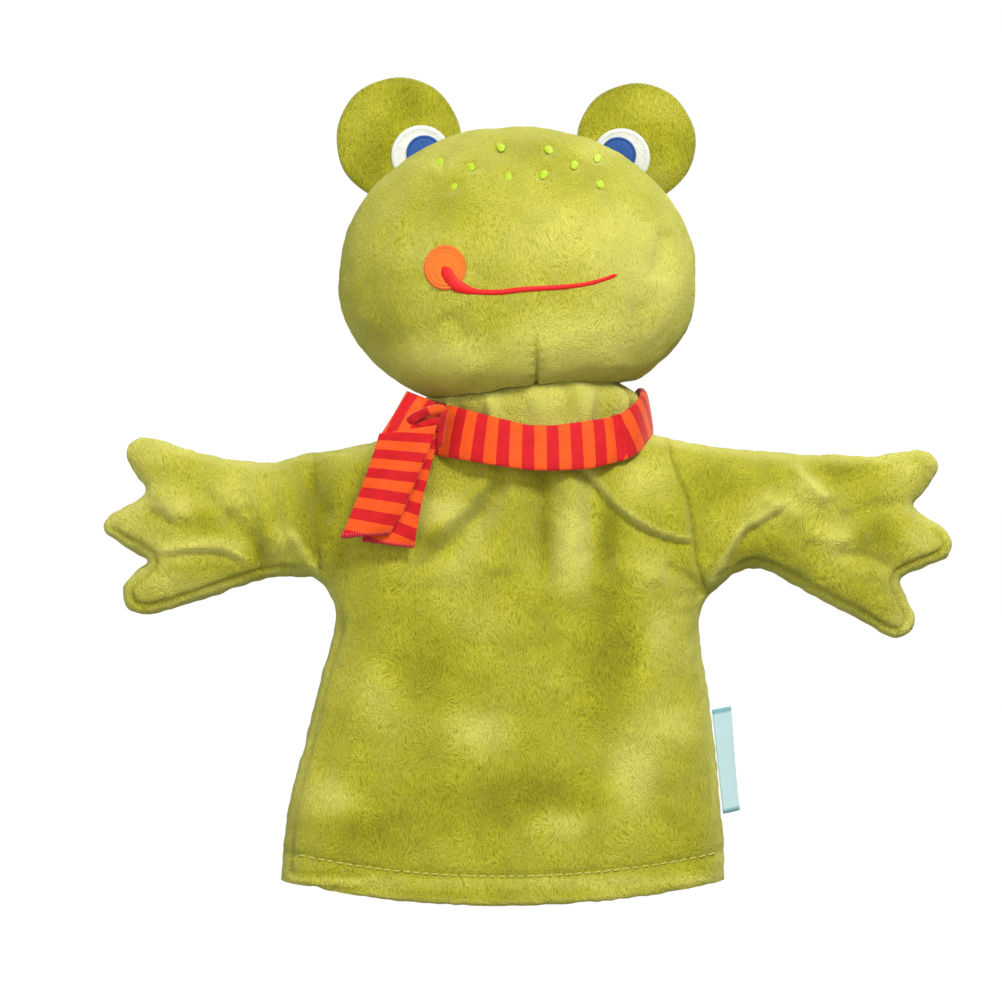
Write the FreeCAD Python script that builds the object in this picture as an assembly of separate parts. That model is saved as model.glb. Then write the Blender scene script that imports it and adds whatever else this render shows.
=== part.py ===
import FreeCAD, Part
import math
import os

# A plush frog glove puppet: a T-shaped glove body with two flat three-fingered hands, a stuffed
# head with a finger pocket, two flat ears with felt eyes, a knotted striped scarf and a side label.
# Millimetres. +Z is up, the face looks along -Y, and the puppet's own left is +X.
# The origin lies under the finger pocket's axis, at the height of the lowest point of the hem.

V = FreeCAD.Vector
ALONG_X, ALONG_Y, ALONG_Z = V(1, 0, 0), V(0, 1, 0), V(0, 0, 1)
FAR = 400.0            # longer than the puppet in every direction

# Cloth
PLUSH = 2.5            # short-pile plush with its backing
FELT = 0.8             # appliqué felt
GAP = 0.5              # clearance between pieces that turn past each other

# Glove body. Sections: height, centre x, half width, half depth.
TORSO_SECTIONS = [
    (-2.0, -4.7, 72.4, 26.0),
    (17.0, -4.4, 72.1, 27.0),
    (34.0, -3.9, 70.3, 28.0),
    (53.0, -2.3, 66.7, 28.0),
    (73.0, -1.1, 63.0, 27.0),
    (93.0, 0.0, 59.3, 26.0),
    (107.0, 0.0, 57.5, 25.0),
    (127.0, 0.0, 57.5, 24.0),
    (146.0, 0.0, 57.0, 23.0),
    (152.0, 0.0, 53.0, 22.5),
]
SHOULDER_TOP = 152.0
HEM_ARC = 345.0        # radius of the hem's bottom edge, whose middle is its lowest point
HEM_MIDDLE_X = -4.7
HEM_TURN_UP = 9.0      # the hem is folded inwards this far
STITCH_DROP = 8.2      # the hem's stitch line runs between this height and the fold's top
STITCH_STANDS = 0.5

# Neck
NECK_HOLE = 19.4
NECK_TUBE = 19.0
NECK_BORE = 14.0
NECK_FOOT = 140.0
NECK_FLARE = (28.0, 21.0)      # half width and half depth above the shoulders
NOD_HEIGHT = 158.0             # the head nods about a line along X at this height
NECK_CROWN = 22.0              # radius of the neck's rounded top about the nodding line
SOCKET_HALF_LENGTH = 29.0

# Head: half width, half depth, and the half heights above and below its widest level
HEAD_LEVEL = 205.0
HEAD_HALF_WIDTH = 58.0
HEAD_HALF_DEPTH = 38.0
HEAD_ABOVE = 48.3
HEAD_BELOW = 39.3
JOWL_POWER = 2.5               # the lower half is a superellipse, fuller than an ellipse
JOWL_STEPS = 12                # stretches of the curve that follows it
HEAD_SEAM_Y = 20.0             # the face panel wraps back to this plane
POCKET_BORE = 10.5
POCKET_WALL = 1.2
POCKET_MOUTH = 181.0
POCKET_DEPTH = 45.0

# Felt and embroidery on the face: x and z of each centre
CHEEK = (-23.3, 207.6)
CHEEK_RADII = (6.8, 7.3)
SMILE = [                      # x, z and half width of the stitched line, from the tongue outwards
    (-23.9, 207.9, 1.8),
    (-21.6, 203.9, 1.8),
    (-16.5, 200.5, 1.6),
    (-9.0, 199.5, 1.4),
    (4.0, 200.6, 1.1),
    (18.6, 201.7, 0.9),
    (27.5, 203.5, 0.8),
    (32.4, 205.5, 0.7),
]
STITCH_HEIGHT = 1.6
SPOT_RADIUS = 1.55
SPOTS = [
    (-25.1, 242.6), (-15.0, 241.0), (-20.5, 234.4), (-5.3, 247.4), (-2.8, 237.6),
    (8.7, 238.1), (10.3, 246.6), (18.7, 241.5), (26.3, 244.0), (27.0, 235.1),
]

# Ears: flat lenses standing in the head's seam
EAR_HALF_THICKNESS = 3.4
EAR_CLOTH = 1.6
EAR_BEAD = 2.8                 # radius of the rolled edge along the ear's foot
EAR_STANDS = 2.0               # height of the fold line above the head's surface
EARS = {                       # ear centre x, z and radius, then eye centre x, z and radius
    "right": (-38.9, 249.4, 20.5, -31.4, 244.2, 9.8),
    "left": (39.2, 248.4, 19.6, 34.3, 243.5, 9.5),
}
IRIS_RADIUS = 5.9
IRIS_STANDS = 1.4

# Sleeves: a round shoulder about the raising axis, then an oval tube out to the wrist
SHOULDER_X = 59.0
SHOULDER_Z = 127.0
SHOULDER_RADIUS = 24.5
SHOULDER_HALF_DEPTH = 12.0
SHOULDER_ROUNDING = 5.0
SLEEVE_SECTIONS = [            # x, centre z, half height, half depth
    (59.0, 127.0, 20.0, 11.5),
    (76.0, 126.3, 20.3, 11.2),
    (92.0, 125.0, 21.3, 10.8),
]
SLEEVE_MOUTH_HALF_HEIGHT = 15.0
SLEEVE_MOUTH_HALF_DEPTH = 9.0

# Hands: a wrist barrel about the vertical flapping axis, then a palm and three fingers
WRIST_X = 92.0
WRIST_Z = 125.0
WRIST_RADIUS = 11.0
WRIST_HALF_HEIGHT = 21.0
WRIST_BORE = 8.5
WRIST_WAY_IN = 6.5             # half depth of the opening from the sleeve
HAND_DEPTHS = [(92.0, 8.0), (105.0, 7.0), (120.0, 5.5), (135.0, 4.5), (145.0, 3.5)]
PALM = (92.0, 125.0, 21.0)     # x, z and radius of the circle that the palm springs from
FINGERS = {                    # root x, z, radius, then tip x, z, radius
    "left": [
        (112.0, 134.0, 12.5, 131.5, 142.0, 6.0),
        (112.0, 121.0, 14.0, 135.8, 117.2, 6.5),
        (105.0, 112.0, 13.0, 123.6, 93.5, 6.4),
    ],
    "right": [
        (103.0, 134.0, 12.0, 121.0, 145.8, 6.3),
        (108.0, 123.0, 13.5, 128.6, 123.2, 6.2),
        (101.0, 112.5, 12.0, 122.0, 101.2, 6.5),
    ],
}

# Scarf: a loop round the neck that slopes down at the front, a knot and two tails
SCARF_HEIGHT = 14.7
SCARF_CENTRE_X = 4.5
SCARF_OUTER = (40.0, 30.0)
SCARF_THICKNESS = 2.2
SCARF_BOTTOM = 153.0
SCARF_BACK_TOP = 163.8
SCARF_SLOPE = 0.4              # fall of the front half towards the chest
KNOT = (-30.0, -22.0, 156.0)
KNOT_RADII = (7.5, 3.5, 5.0)
TAIL_PIVOT = (-30.0, 155.0)
TAIL_EYE = 5.8                 # radius of each tail's top about its pivot
FRONT_TAIL = [(-25.0, 153.0), (-36.0, 155.5), (-42.0, 153.0), (-57.0, 119.5), (-41.0, 121.0)]
FRONT_TAIL_Y = (-30.5, -28.3)
BACK_TAIL = [(-25.0, 153.0), (-34.0, 155.5), (-41.5, 151.0), (-50.1, 118.4), (-33.3, 116.2)]
BACK_TAIL_Y = (-27.8, -25.8)

# Label: a folded ribbon sewn into the left side seam
LABEL_SIZE = (9.0, 1.6, 34.0)  # how far it stands out, its thickness and its height
LABEL_FOOT = (68.2, 0.0, 29.4) # the lower end of the line that it folds about
LABEL_TOP_X = 64.6
LABEL_TURN = 55.0              # it lies back from straight outwards by this angle


def front_of(y):
    return Part.makeBox(2 * FAR, FAR, 2 * FAR, V(-FAR, y - FAR, -FAR))


def behind(y):
    return Part.makeBox(2 * FAR, FAR, 2 * FAR, V(-FAR, y, -FAR))


def centred_cylinder(radius, half_length, centre, along):
    return Part.makeCylinder(radius, 2 * half_length, centre - along * half_length, along)


def ellipsoid(centre, radii):
    ball = Part.makeSphere(1.0)
    scale = FreeCAD.Matrix()
    scale.scale(*radii)
    ball = ball.transformGeometry(scale)
    ball.translate(centre)
    return ball


def flat_ellipse(x, z, half_width, half_depth):
    """An oval wire in a level plane."""
    centre = V(x, 0, z)
    if half_width >= half_depth:
        oval = Part.Ellipse(centre + ALONG_X * half_width, centre + ALONG_Y * half_depth, centre)
    else:
        oval = Part.Ellipse(centre + ALONG_Y * half_depth, centre - ALONG_X * half_width, centre)
    return Part.Wire([oval.toShape()])


def upright_ellipse(x, z, half_height, half_depth):
    """An oval wire across an arm."""
    centre = V(x, 0, z)
    oval = Part.Ellipse(centre + ALONG_Z * half_height, centre + ALONG_Y * half_depth, centre)
    return Part.Wire([oval.toShape()])


def through(outline):
    """A flat outline in the XZ plane, pushed right through the puppet along Y."""
    outline.translate(V(0, -FAR, 0))
    return outline.extrude(ALONG_Y * 2 * FAR)


def polygon(points):
    corners = [V(x, 0, z) for x, z in points]
    return Part.Face(Part.makePolygon(corners + corners[:1]))


def capsule(x1, z1, r1, x2, z2, r2):
    """The outline of two circles and their outer tangents, in the XZ plane."""
    start, end = V(x1, 0, z1), V(x2, 0, z2)
    ahead = (end - start).normalize()
    across = V(-ahead.z, 0, ahead.x)
    cosine = (r1 - r2) / start.distanceToPoint(end)
    sine = math.sqrt(1 - cosine ** 2)
    one_side = ahead * cosine + across * sine
    other_side = ahead * cosine - across * sine
    edges = [
        Part.LineSegment(start + one_side * r1, end + one_side * r2).toShape(),
        Part.Arc(end + one_side * r2, end + ahead * r2, end + other_side * r2).toShape(),
        Part.LineSegment(end + other_side * r2, start + other_side * r1).toShape(),
        Part.Arc(start + other_side * r1, start - ahead * r1, start + one_side * r1).toShape(),
    ]
    return Part.Face(Part.Wire(edges))


def fused(shapes):
    return shapes[0].multiFuse(shapes[1:]).removeSplitter()


def save(shape, node):
    solids = shape.Solids
    whole = solids[0] if len(solids) == 1 else Part.makeCompound(solids)
    whole.exportStep("parts/" + node + ".step")
    print(node, len(solids), round(whole.Volume, 1), whole.isValid())


# Glove body

def torso_solid(inset):
    wires = [flat_ellipse(x, z, half_width - inset, half_depth - inset)
             for z, x, half_width, half_depth in TORSO_SECTIONS]
    return Part.makeLoft(wires, True, False)


def above_hem(height):
    """Everything higher than a line that follows the hem at this height."""
    centre = V(HEM_MIDDLE_X, 0, HEM_ARC)
    return centred_cylinder(HEM_ARC - height, FAR, centre, ALONG_Y)


def torso_shell():
    under_shoulders = Part.makeBox(2 * FAR, 2 * FAR, FAR, V(-FAR, -FAR, SHOULDER_TOP - PLUSH - FAR))
    cavity = torso_solid(PLUSH).common(under_shoulders)
    shell = torso_solid(0).common(above_hem(0))
    shell = shell.cut(cavity.common(above_hem(HEM_TURN_UP)))
    shell = shell.cut(torso_solid(2 * PLUSH).cut(above_hem(HEM_TURN_UP)))
    shell = shell.cut(Part.makeCylinder(NECK_HOLE, FAR, V(0, 0, NECK_FOOT)))
    for side in (-1, 1):
        shoulder = V(side * SHOULDER_X, 0, SHOULDER_Z)
        shell = shell.cut(centred_cylinder(SHOULDER_RADIUS + GAP, FAR, shoulder, ALONG_Y))
    return shell


def make_body():
    shell = torso_shell()
    save(shell.common(front_of(0)), "torso_front_panel")
    save(shell.common(behind(0)), "torso_back_panel")
    band = torso_solid(-STITCH_STANDS).cut(torso_solid(0))
    save(band.common(above_hem(STITCH_DROP)).cut(above_hem(HEM_TURN_UP)), "hem_stitching")


# Neck

def make_neck():
    tube = Part.makeCylinder(NECK_TUBE, NOD_HEIGHT - NECK_FOOT, V(0, 0, NECK_FOOT))
    flare_foot = SHOULDER_TOP + GAP
    flare = Part.Face(flat_ellipse(0, flare_foot, *NECK_FLARE)).extrude(ALONG_Z * FAR)
    nodding_line = V(0, 0, NOD_HEIGHT)
    crown = centred_cylinder(NECK_CROWN, SOCKET_HALF_LENGTH, nodding_line, ALONG_X)
    neck = fused([tube, flare.common(crown)])
    save(neck.cut(centred_cylinder(NECK_BORE, FAR, V(0, 0, 0), ALONG_Z)), "neck_gather")


# Head

def head_solid(stands):
    """The head's outer form, grown outwards by this much."""
    width, depth = HEAD_HALF_WIDTH + stands, HEAD_HALF_DEPTH + stands
    above, below = HEAD_ABOVE + stands, HEAD_BELOW + stands
    lower = []
    for step in range(JOWL_STEPS + 1):
        turn = math.pi / 2 * step / JOWL_STEPS
        lower.append(V(width * math.cos(turn) ** (2 / JOWL_POWER), 0,
                       HEAD_LEVEL - below * math.sin(turn) ** (2 / JOWL_POWER)))
    jowl = Part.BSplineCurve()
    jowl.interpolate(lower, InitialTangent=V(0, 0, -1), FinalTangent=V(-1, 0, 0))
    middle = V(0, 0, HEAD_LEVEL)
    dome = Part.Ellipse(middle + ALONG_X * width, middle + ALONG_Z * above, middle)
    dome = Part.ArcOfEllipse(dome, 0, math.pi / 2)
    top, bottom = V(0, 0, HEAD_LEVEL + above), V(0, 0, HEAD_LEVEL - below)
    outline = Part.Wire([dome.toShape(), Part.LineSegment(top, bottom).toShape(),
                         jowl.toShape()])
    form = Part.Face(outline).revolve(V(0, 0, 0), ALONG_Z, 360)
    flatten = FreeCAD.Matrix()
    flatten.scale(1.0, depth / width, 1.0)
    return form.transformGeometry(flatten)


def make_head():
    nodding_line = V(0, 0, NOD_HEIGHT)
    socket = centred_cylinder(NECK_CROWN + GAP, SOCKET_HALF_LENGTH, nodding_line, ALONG_X)
    outer, inner = head_solid(0), head_solid(-PLUSH)
    shell = outer.cut(inner).cut(socket)
    for ear_x, ear_z, ear_radius, *_ in EARS.values():
        middle, outward, half_chord = fold_line(ear_x, ear_z, ear_radius)
        shell = shell.cut(ear_foot(EAR_BEAD + GAP, half_chord, middle, outward))
    save(shell.common(front_of(HEAD_SEAM_Y)), "face_panel")
    save(shell.common(behind(HEAD_SEAM_Y)), "head_back_panel")

    end = POCKET_MOUTH + POCKET_DEPTH
    sleeve = POCKET_BORE + POCKET_WALL
    way_in = Part.makeCylinder(sleeve, end - NOD_HEIGHT, nodding_line)
    pocket = fused([Part.makeCylinder(sleeve, POCKET_DEPTH, V(0, 0, POCKET_MOUTH)),
                    Part.makeSphere(sleeve, V(0, 0, end))])
    pocket_space = fused([Part.makeCylinder(POCKET_BORE, FAR, V(0, 0, end - FAR)),
                          Part.makeSphere(POCKET_BORE, V(0, 0, end))])
    below_mouth = Part.makeBox(2 * FAR, 2 * FAR, FAR, V(-FAR, -FAR, POCKET_MOUTH - FAR))
    save(pocket.cut(below_mouth).cut(pocket_space), "finger_pocket")
    save(inner.cut(socket).cut(way_in).cut(pocket), "head_stuffing")


def on_face(outline, stands):
    """The layer of this thickness over the face that lies inside the outline."""
    return through(outline).common(head_solid(stands)).cut(head_solid(0)).common(front_of(0))


def make_face():
    centre = V(CHEEK[0], 0, CHEEK[1])
    rim = Part.Ellipse(centre + ALONG_Z * CHEEK_RADII[1], centre + ALONG_X * CHEEK_RADII[0], centre)
    cheek = on_face(Part.Face(Part.Wire([rim.toShape()])), FELT)
    save(cheek, "cheek_patch")
    strokes = [capsule(*start, *end) for start, end in zip(SMILE, SMILE[1:])]
    smile = on_face(fused(strokes), STITCH_HEIGHT)
    save(smile.cut(cheek), "mouth_embroidery")
    spots = [on_face(Part.Face(Part.Wire([Part.makeCircle(SPOT_RADIUS, V(x, 0, z), ALONG_Y)])), FELT)
             for x, z in SPOTS]
    save(Part.makeCompound(spots), "forehead_spots")


# Ears

def fold_line(ear_x, ear_z, ear_radius):
    """The middle of the line that an ear folds about, the way out of the head, and half its length."""
    share = math.sqrt(1 - (HEAD_SEAM_Y / HEAD_HALF_DEPTH) ** 2)
    half_width, half_height = HEAD_HALF_WIDTH * share, HEAD_ABOVE * share
    low, high = 0.0, math.pi / 2

    def distance(turn):
        return math.hypot(abs(ear_x) - half_width * math.cos(turn),
                          ear_z - HEAD_LEVEL - half_height * math.sin(turn))

    for _ in range(60):
        third = (high - low) / 3
        if distance(low + third) < distance(high - third):
            high -= third
        else:
            low += third
    side = math.copysign(1, ear_x)
    outward = V(side * math.cos(low) / half_width, 0, math.sin(low) / half_height).normalize()
    foot = V(side * half_width * math.cos(low), HEAD_SEAM_Y, HEAD_LEVEL + half_height * math.sin(low))
    centre = V(ear_x, HEAD_SEAM_Y, ear_z)
    rise = (centre - foot).dot(outward) - EAR_STANDS
    return centre - outward * rise, outward, math.sqrt(ear_radius ** 2 - rise ** 2)


def ear_foot(radius, half_length, middle, outward):
    """The round edge that an ear turns on."""
    return centred_cylinder(radius, half_length, middle, outward.cross(ALONG_Y))


def lens(x, z, radius, half_thickness, stands):
    """Two shallow caps back to back, grown outwards by this much."""
    ball = (radius ** 2 + half_thickness ** 2) / (2 * half_thickness)
    offset = ball - half_thickness
    front = Part.makeSphere(ball + stands, V(x, HEAD_SEAM_Y + offset, z))
    back = Part.makeSphere(ball + stands, V(x, HEAD_SEAM_Y - offset, z))
    return front.common(back)


def beyond(point, outward):
    """Everything past a plane through the point, which faces this way."""
    half = Part.makeBox(2 * FAR, 2 * FAR, FAR, V(-FAR, -FAR, 0))
    half.Placement = FreeCAD.Placement(point, FreeCAD.Rotation(ALONG_Z, outward))
    return half


def make_ear(name, ear_x, ear_z, ear_radius, eye_x, eye_z, eye_radius):
    middle, outward, half_chord = fold_line(ear_x, ear_z, ear_radius)
    body = lens(ear_x, ear_z, ear_radius, EAR_HALF_THICKNESS, 0)
    foot = ear_foot(EAR_BEAD, half_chord - EAR_BEAD, middle, outward)
    outer = fused([body.common(beyond(middle, outward)), foot])
    wadding = lens(ear_x, ear_z, ear_radius, EAR_HALF_THICKNESS, -EAR_CLOTH)
    wadding = wadding.common(beyond(middle + outward * EAR_CLOTH, outward))
    skin = outer.cut(wadding)
    save(wadding, name + "_ear_wadding")
    save(skin.common(front_of(HEAD_SEAM_Y)), name + "_ear_front")
    save(skin.common(behind(HEAD_SEAM_Y)), name + "_ear_back")

    clear = beyond(middle + outward * EAR_BEAD, outward)
    front = front_of(HEAD_SEAM_Y).common(clear)

    def patch(x, z, radius, stands):
        disc = centred_cylinder(radius, FAR, V(x, 0, z), ALONG_Y)
        layer = lens(ear_x, ear_z, ear_radius, EAR_HALF_THICKNESS, stands).cut(outer)
        return layer.common(disc).common(front)

    white = patch(eye_x, eye_z, eye_radius, FELT)
    save(white, name + "_eye_white")
    save(patch(eye_x, eye_z, IRIS_RADIUS, IRIS_STANDS).cut(white), name + "_eye_blue")


# Arms

def sleeve_solid(side, inset):
    shoulder = V(side * SHOULDER_X, 0, SHOULDER_Z)
    disc = centred_cylinder(SHOULDER_RADIUS - inset, SHOULDER_HALF_DEPTH - inset, shoulder, ALONG_Y)
    rims = [edge for edge in disc.Edges if len(edge.Vertexes) == 1]
    disc = disc.makeFillet(SHOULDER_ROUNDING, rims)
    tube = Part.makeLoft([upright_ellipse(side * x, z, half_height - inset, half_depth - inset)
                          for x, z, half_height, half_depth in SLEEVE_SECTIONS], True, False)
    return disc.fuse(tube)


def make_sleeve(name, side):
    half_depth, half_height = SLEEVE_MOUTH_HALF_DEPTH, SLEEVE_MOUTH_HALF_HEIGHT
    mouth = Part.makeBox(SHOULDER_RADIUS + PLUSH, 2 * half_depth, 2 * half_height)
    mouth.translate(V(-SHOULDER_RADIUS - PLUSH, -half_depth, SHOULDER_Z - half_height))
    mouth.translate(V(SHOULDER_X, 0, 0))
    if side < 0:
        mouth = mouth.mirror(V(0, 0, 0), ALONG_X)
    wrist = centred_cylinder(WRIST_RADIUS + GAP, FAR, V(side * WRIST_X, 0, 0), ALONG_Z)
    shell = sleeve_solid(side, 0).cut(sleeve_solid(side, PLUSH)).cut(mouth).cut(wrist)
    save(shell.common(front_of(0)), name + "_sleeve_front")
    save(shell.common(behind(0)), name + "_sleeve_back")


def hand_solid(side, fingers, inset):
    """The palm and its fingers, as thick as the hand is at each distance along the arm."""
    x, z, radius = PALM
    outlines = []
    for root_x, root_z, root_radius, tip_x, tip_z, tip_radius in fingers:
        root = (side * root_x, root_z, root_radius - inset)
        outlines.append(capsule(*root, side * tip_x, tip_z, tip_radius - inset))
        outlines.append(capsule(side * x, z, radius - inset, *root))
    flat = through(fused(outlines))
    edge = [(side * along, depth - inset) for along, depth in HAND_DEPTHS]
    corners = [V(along, depth, 0) for along, depth in edge]
    corners += [V(along, -depth, 0) for along, depth in reversed(edge)]
    wedge = Part.Face(Part.makePolygon(corners + corners[:1])).extrude(ALONG_Z * FAR)
    return flat.common(wedge)


def make_hand(name, side):
    wrist = V(side * WRIST_X, 0, WRIST_Z)
    barrel = centred_cylinder(WRIST_RADIUS, WRIST_HALF_HEIGHT, wrist, ALONG_Z)
    bore = centred_cylinder(WRIST_BORE, WRIST_HALF_HEIGHT - PLUSH, wrist, ALONG_Z)
    half_height = SLEEVE_MOUTH_HALF_HEIGHT
    way_in = Part.makeBox(WRIST_RADIUS, 2 * WRIST_WAY_IN, 2 * half_height,
                          V(WRIST_X - WRIST_RADIUS, -WRIST_WAY_IN, WRIST_Z - half_height))
    if side < 0:
        way_in = way_in.mirror(V(0, 0, 0), ALONG_X)
    solid = fused([barrel, hand_solid(side, FINGERS[name], 0)])
    hollow = solid.cut(hand_solid(side, FINGERS[name], PLUSH)).cut(bore).cut(way_in)
    save(hollow.common(front_of(0)), name + "_hand_front")
    save(hollow.common(behind(0)), name + "_hand_back")


# Scarf

def sloped_ring(inset, bottom, height):
    """A level oval ring's solid, whose front half falls towards the chest."""
    half_width, half_depth = SCARF_OUTER[0] - inset, SCARF_OUTER[1] - inset
    level = Part.Face(flat_ellipse(SCARF_CENTRE_X, bottom, half_width, half_depth))
    level = level.extrude(ALONG_Z * height)
    shear = FreeCAD.Matrix()
    shear.A32 = SCARF_SLOPE
    front = level.common(front_of(0)).transformGeometry(shear)
    return front.fuse(level.common(behind(0)))


def make_scarf():
    ring = sloped_ring(0, SCARF_BOTTOM, SCARF_HEIGHT)
    ring = ring.cut(sloped_ring(SCARF_THICKNESS, SCARF_BOTTOM - 1, SCARF_HEIGHT + 2))
    too_high = Part.makeBox(2 * FAR, FAR, FAR, V(-FAR, 0, SCARF_BACK_TOP))
    knot = ellipsoid(V(*KNOT), KNOT_RADII)
    band = ring.cut(too_high).cut(knot).cut(torso_solid(-GAP))
    save(band, "scarf_band")
    save(knot, "scarf_knot")
    for node, outline, (front_y, back_y) in (("scarf_front_tail", FRONT_TAIL, FRONT_TAIL_Y),
                                             ("scarf_back_tail", BACK_TAIL, BACK_TAIL_Y)):
        x, z = TAIL_PIVOT
        eye = Part.Face(Part.Wire([Part.makeCircle(TAIL_EYE, V(x, 0, z), ALONG_Y)]))
        tail = fused([face.extrude(ALONG_Y * (back_y - front_y)) for face in (eye, polygon(outline))])
        tail.translate(V(0, front_y, 0))
        save(tail, node)


def make_label():
    out, thick, tall = LABEL_SIZE
    fold = Part.makeCylinder(thick / 2, tall)
    ribbon = fused([Part.makeBox(out, thick, tall, V(0, -thick / 2, 0)), fold])
    ribbon.rotate(V(0, 0, 0), ALONG_Z, LABEL_TURN)
    lean = math.degrees(math.atan2(LABEL_TOP_X - LABEL_FOOT[0], tall))
    ribbon.rotate(V(0, 0, 0), ALONG_Y, lean)
    ribbon.translate(V(*LABEL_FOOT))
    save(ribbon, "side_label")


os.makedirs("parts", exist_ok=True)
make_body()
make_neck()
make_head()
make_face()
for ear_name, measures in EARS.items():
    make_ear(ear_name, *measures)
for arm_name, arm_side in (("left", 1), ("right", -1)):
    make_sleeve(arm_name, arm_side)
    make_hand(arm_name, arm_side)
make_scarf()
make_label()
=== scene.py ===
"""The frog glove puppet, dressed: plush, felt, embroidery, a striped scarf and a plain label.

Lengths are in millimetres until a mesh is made. +Z is up, the face looks along -Y, and the
puppet's own left is +X. "Left" and "right" in names are the puppet's own.
"""
import math

import bmesh
import bpy
import numpy as np
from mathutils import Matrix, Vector, noise
from mathutils.geometry import delaunay_2d_cdt


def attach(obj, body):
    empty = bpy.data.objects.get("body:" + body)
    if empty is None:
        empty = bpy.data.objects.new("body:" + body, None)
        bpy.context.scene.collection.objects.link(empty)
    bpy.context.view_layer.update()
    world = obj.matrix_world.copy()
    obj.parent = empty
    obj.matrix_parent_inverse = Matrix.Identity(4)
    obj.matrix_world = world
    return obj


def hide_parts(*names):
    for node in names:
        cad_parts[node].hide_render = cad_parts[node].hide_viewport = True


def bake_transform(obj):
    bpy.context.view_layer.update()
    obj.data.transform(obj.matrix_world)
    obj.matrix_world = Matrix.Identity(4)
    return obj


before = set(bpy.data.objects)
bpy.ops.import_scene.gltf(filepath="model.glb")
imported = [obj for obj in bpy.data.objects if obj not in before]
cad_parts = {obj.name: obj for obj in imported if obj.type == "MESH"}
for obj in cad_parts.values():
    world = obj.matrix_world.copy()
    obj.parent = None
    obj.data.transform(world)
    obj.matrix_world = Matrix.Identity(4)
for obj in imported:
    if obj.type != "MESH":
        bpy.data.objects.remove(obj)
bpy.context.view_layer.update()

MM = 0.001
SIDES = {"left": 1, "right": -1}


# ---------------------------------------------------------------- small helpers

def smoothstep(low, high, value):
    t = np.clip((np.asarray(value, float) - low) / (high - low), 0.0, 1.0)
    return t * t * (3 - 2 * t)


def bell(distance, width):
    return np.exp(-(np.asarray(distance, float) / width) ** 2)


def unit(vectors):
    return vectors / np.maximum(np.linalg.norm(vectors, axis=-1, keepdims=True), 1e-9)


def lumps(points, size, seed):
    """Smooth noise from about -1 to 1, whose lumps are about this many millimetres across."""
    shift = Vector((13.7 * seed, -7.1 * seed, 3.3 * seed))
    return np.array([noise.noise(Vector(p) / size + shift) for p in points]) * 1.6


def circle(count):
    """Evenly spaced angles, once round."""
    return np.linspace(0, 2 * math.pi, count, endpoint=False)


def rounded_sin(angle, power):
    """A sine with fuller rounds, for the section of a flat tube."""
    return abs(math.sin(angle)) ** power * math.copysign(1, math.sin(angle))


def run_along(line):
    """How far along a line each of its points lies."""
    return np.concatenate([[0], np.cumsum(np.linalg.norm(np.diff(line, axis=0), axis=1))])


def curve_through(points, spacing):
    """A smooth line through given points, evenly divided."""
    points = np.asarray(points, float)
    points = np.vstack([2 * points[0] - points[1], points, 2 * points[-1] - points[-2]])
    t = np.linspace(0, 1, 24, endpoint=False)[:, None]
    dense = []
    for p0, p1, p2, p3 in zip(points, points[1:], points[2:], points[3:]):
        dense.append(0.5 * (2 * p1 + (p2 - p0) * t + (2 * p0 - 5 * p1 + 4 * p2 - p3) * t ** 2
                            + (3 * p1 - p0 - 3 * p2 + p3) * t ** 3))
    dense = np.vstack(dense + [points[-2:-1]])
    lengths = run_along(dense)
    count = max(2, int(round(lengths[-1] / spacing)) + 1)
    along = np.linspace(0, lengths[-1], count)
    return np.stack([np.interp(along, lengths, column) for column in dense.T], axis=1)


def new_piece(name, points, faces, attributes=None, normals=None):
    """A smooth-shaded mesh object at the origin from points in millimetres."""
    mesh = bpy.data.meshes.new(name)
    mesh.from_pydata((np.asarray(points, float) * MM).tolist(), [], [list(map(int, f)) for f in faces])
    mesh.polygons.foreach_set("use_smooth", [True] * len(mesh.polygons))
    for key, values in (attributes or {}).items():
        layer = mesh.attributes.new(key, "FLOAT", "POINT")
        layer.data.foreach_set("value", np.asarray(values, np.float32))
    mesh.update()
    if normals is not None:
        mesh.normals_split_custom_set_from_vertices(np.asarray(normals, float).tolist())
    piece = bpy.data.objects.new(name, mesh)
    bpy.context.scene.collection.objects.link(piece)
    return piece


def face_crosses(points, triangles):
    """Each triangle's normal, as long as twice its area."""
    corners = points[triangles]
    return np.cross(corners[:, 1] - corners[:, 0], corners[:, 2] - corners[:, 0])


def vertex_normals(points, triangles):
    across = face_crosses(points, triangles)
    normals = np.zeros_like(points)
    for corner in range(3):
        np.add.at(normals, triangles[:, corner], across)
    return unit(normals)


def rim_edges(triangles):
    """The directed edges that only one triangle uses."""
    directed = np.vstack([triangles[:, [0, 1]], triangles[:, [1, 2]], triangles[:, [2, 0]]])
    ends = np.sort(directed, axis=1)
    keys = ends[:, 0].astype(np.int64) * (ends.max() + 1) + ends[:, 1]
    _, first, count = np.unique(keys, return_index=True, return_counts=True)
    return directed[first[count == 1]]


def cloth_shell(name, points, triangles, thickness, nap_and_painted_light, normals=None):
    """A closed sheet: the given outer face, an inner face behind it, and a rim between them."""
    used, triangles = np.unique(triangles, return_inverse=True)
    triangles = triangles.reshape(-1, 3)
    points = points[used]
    normals = vertex_normals(points, triangles) if normals is None else normals[used]
    inner = points - normals * thickness
    count = len(points)
    faces = [list(t) for t in triangles]
    faces += [[a + count, c + count, b + count] for a, b, c in triangles]
    faces += [[b, a, a + count, b + count] for a, b in rim_edges(triangles)]
    return new_piece(name, np.vstack([points, inner]), faces, {"nap_and_painted_light": np.tile(nap_and_painted_light[used], 2)},
                     np.vstack([normals, -normals]))


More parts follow.
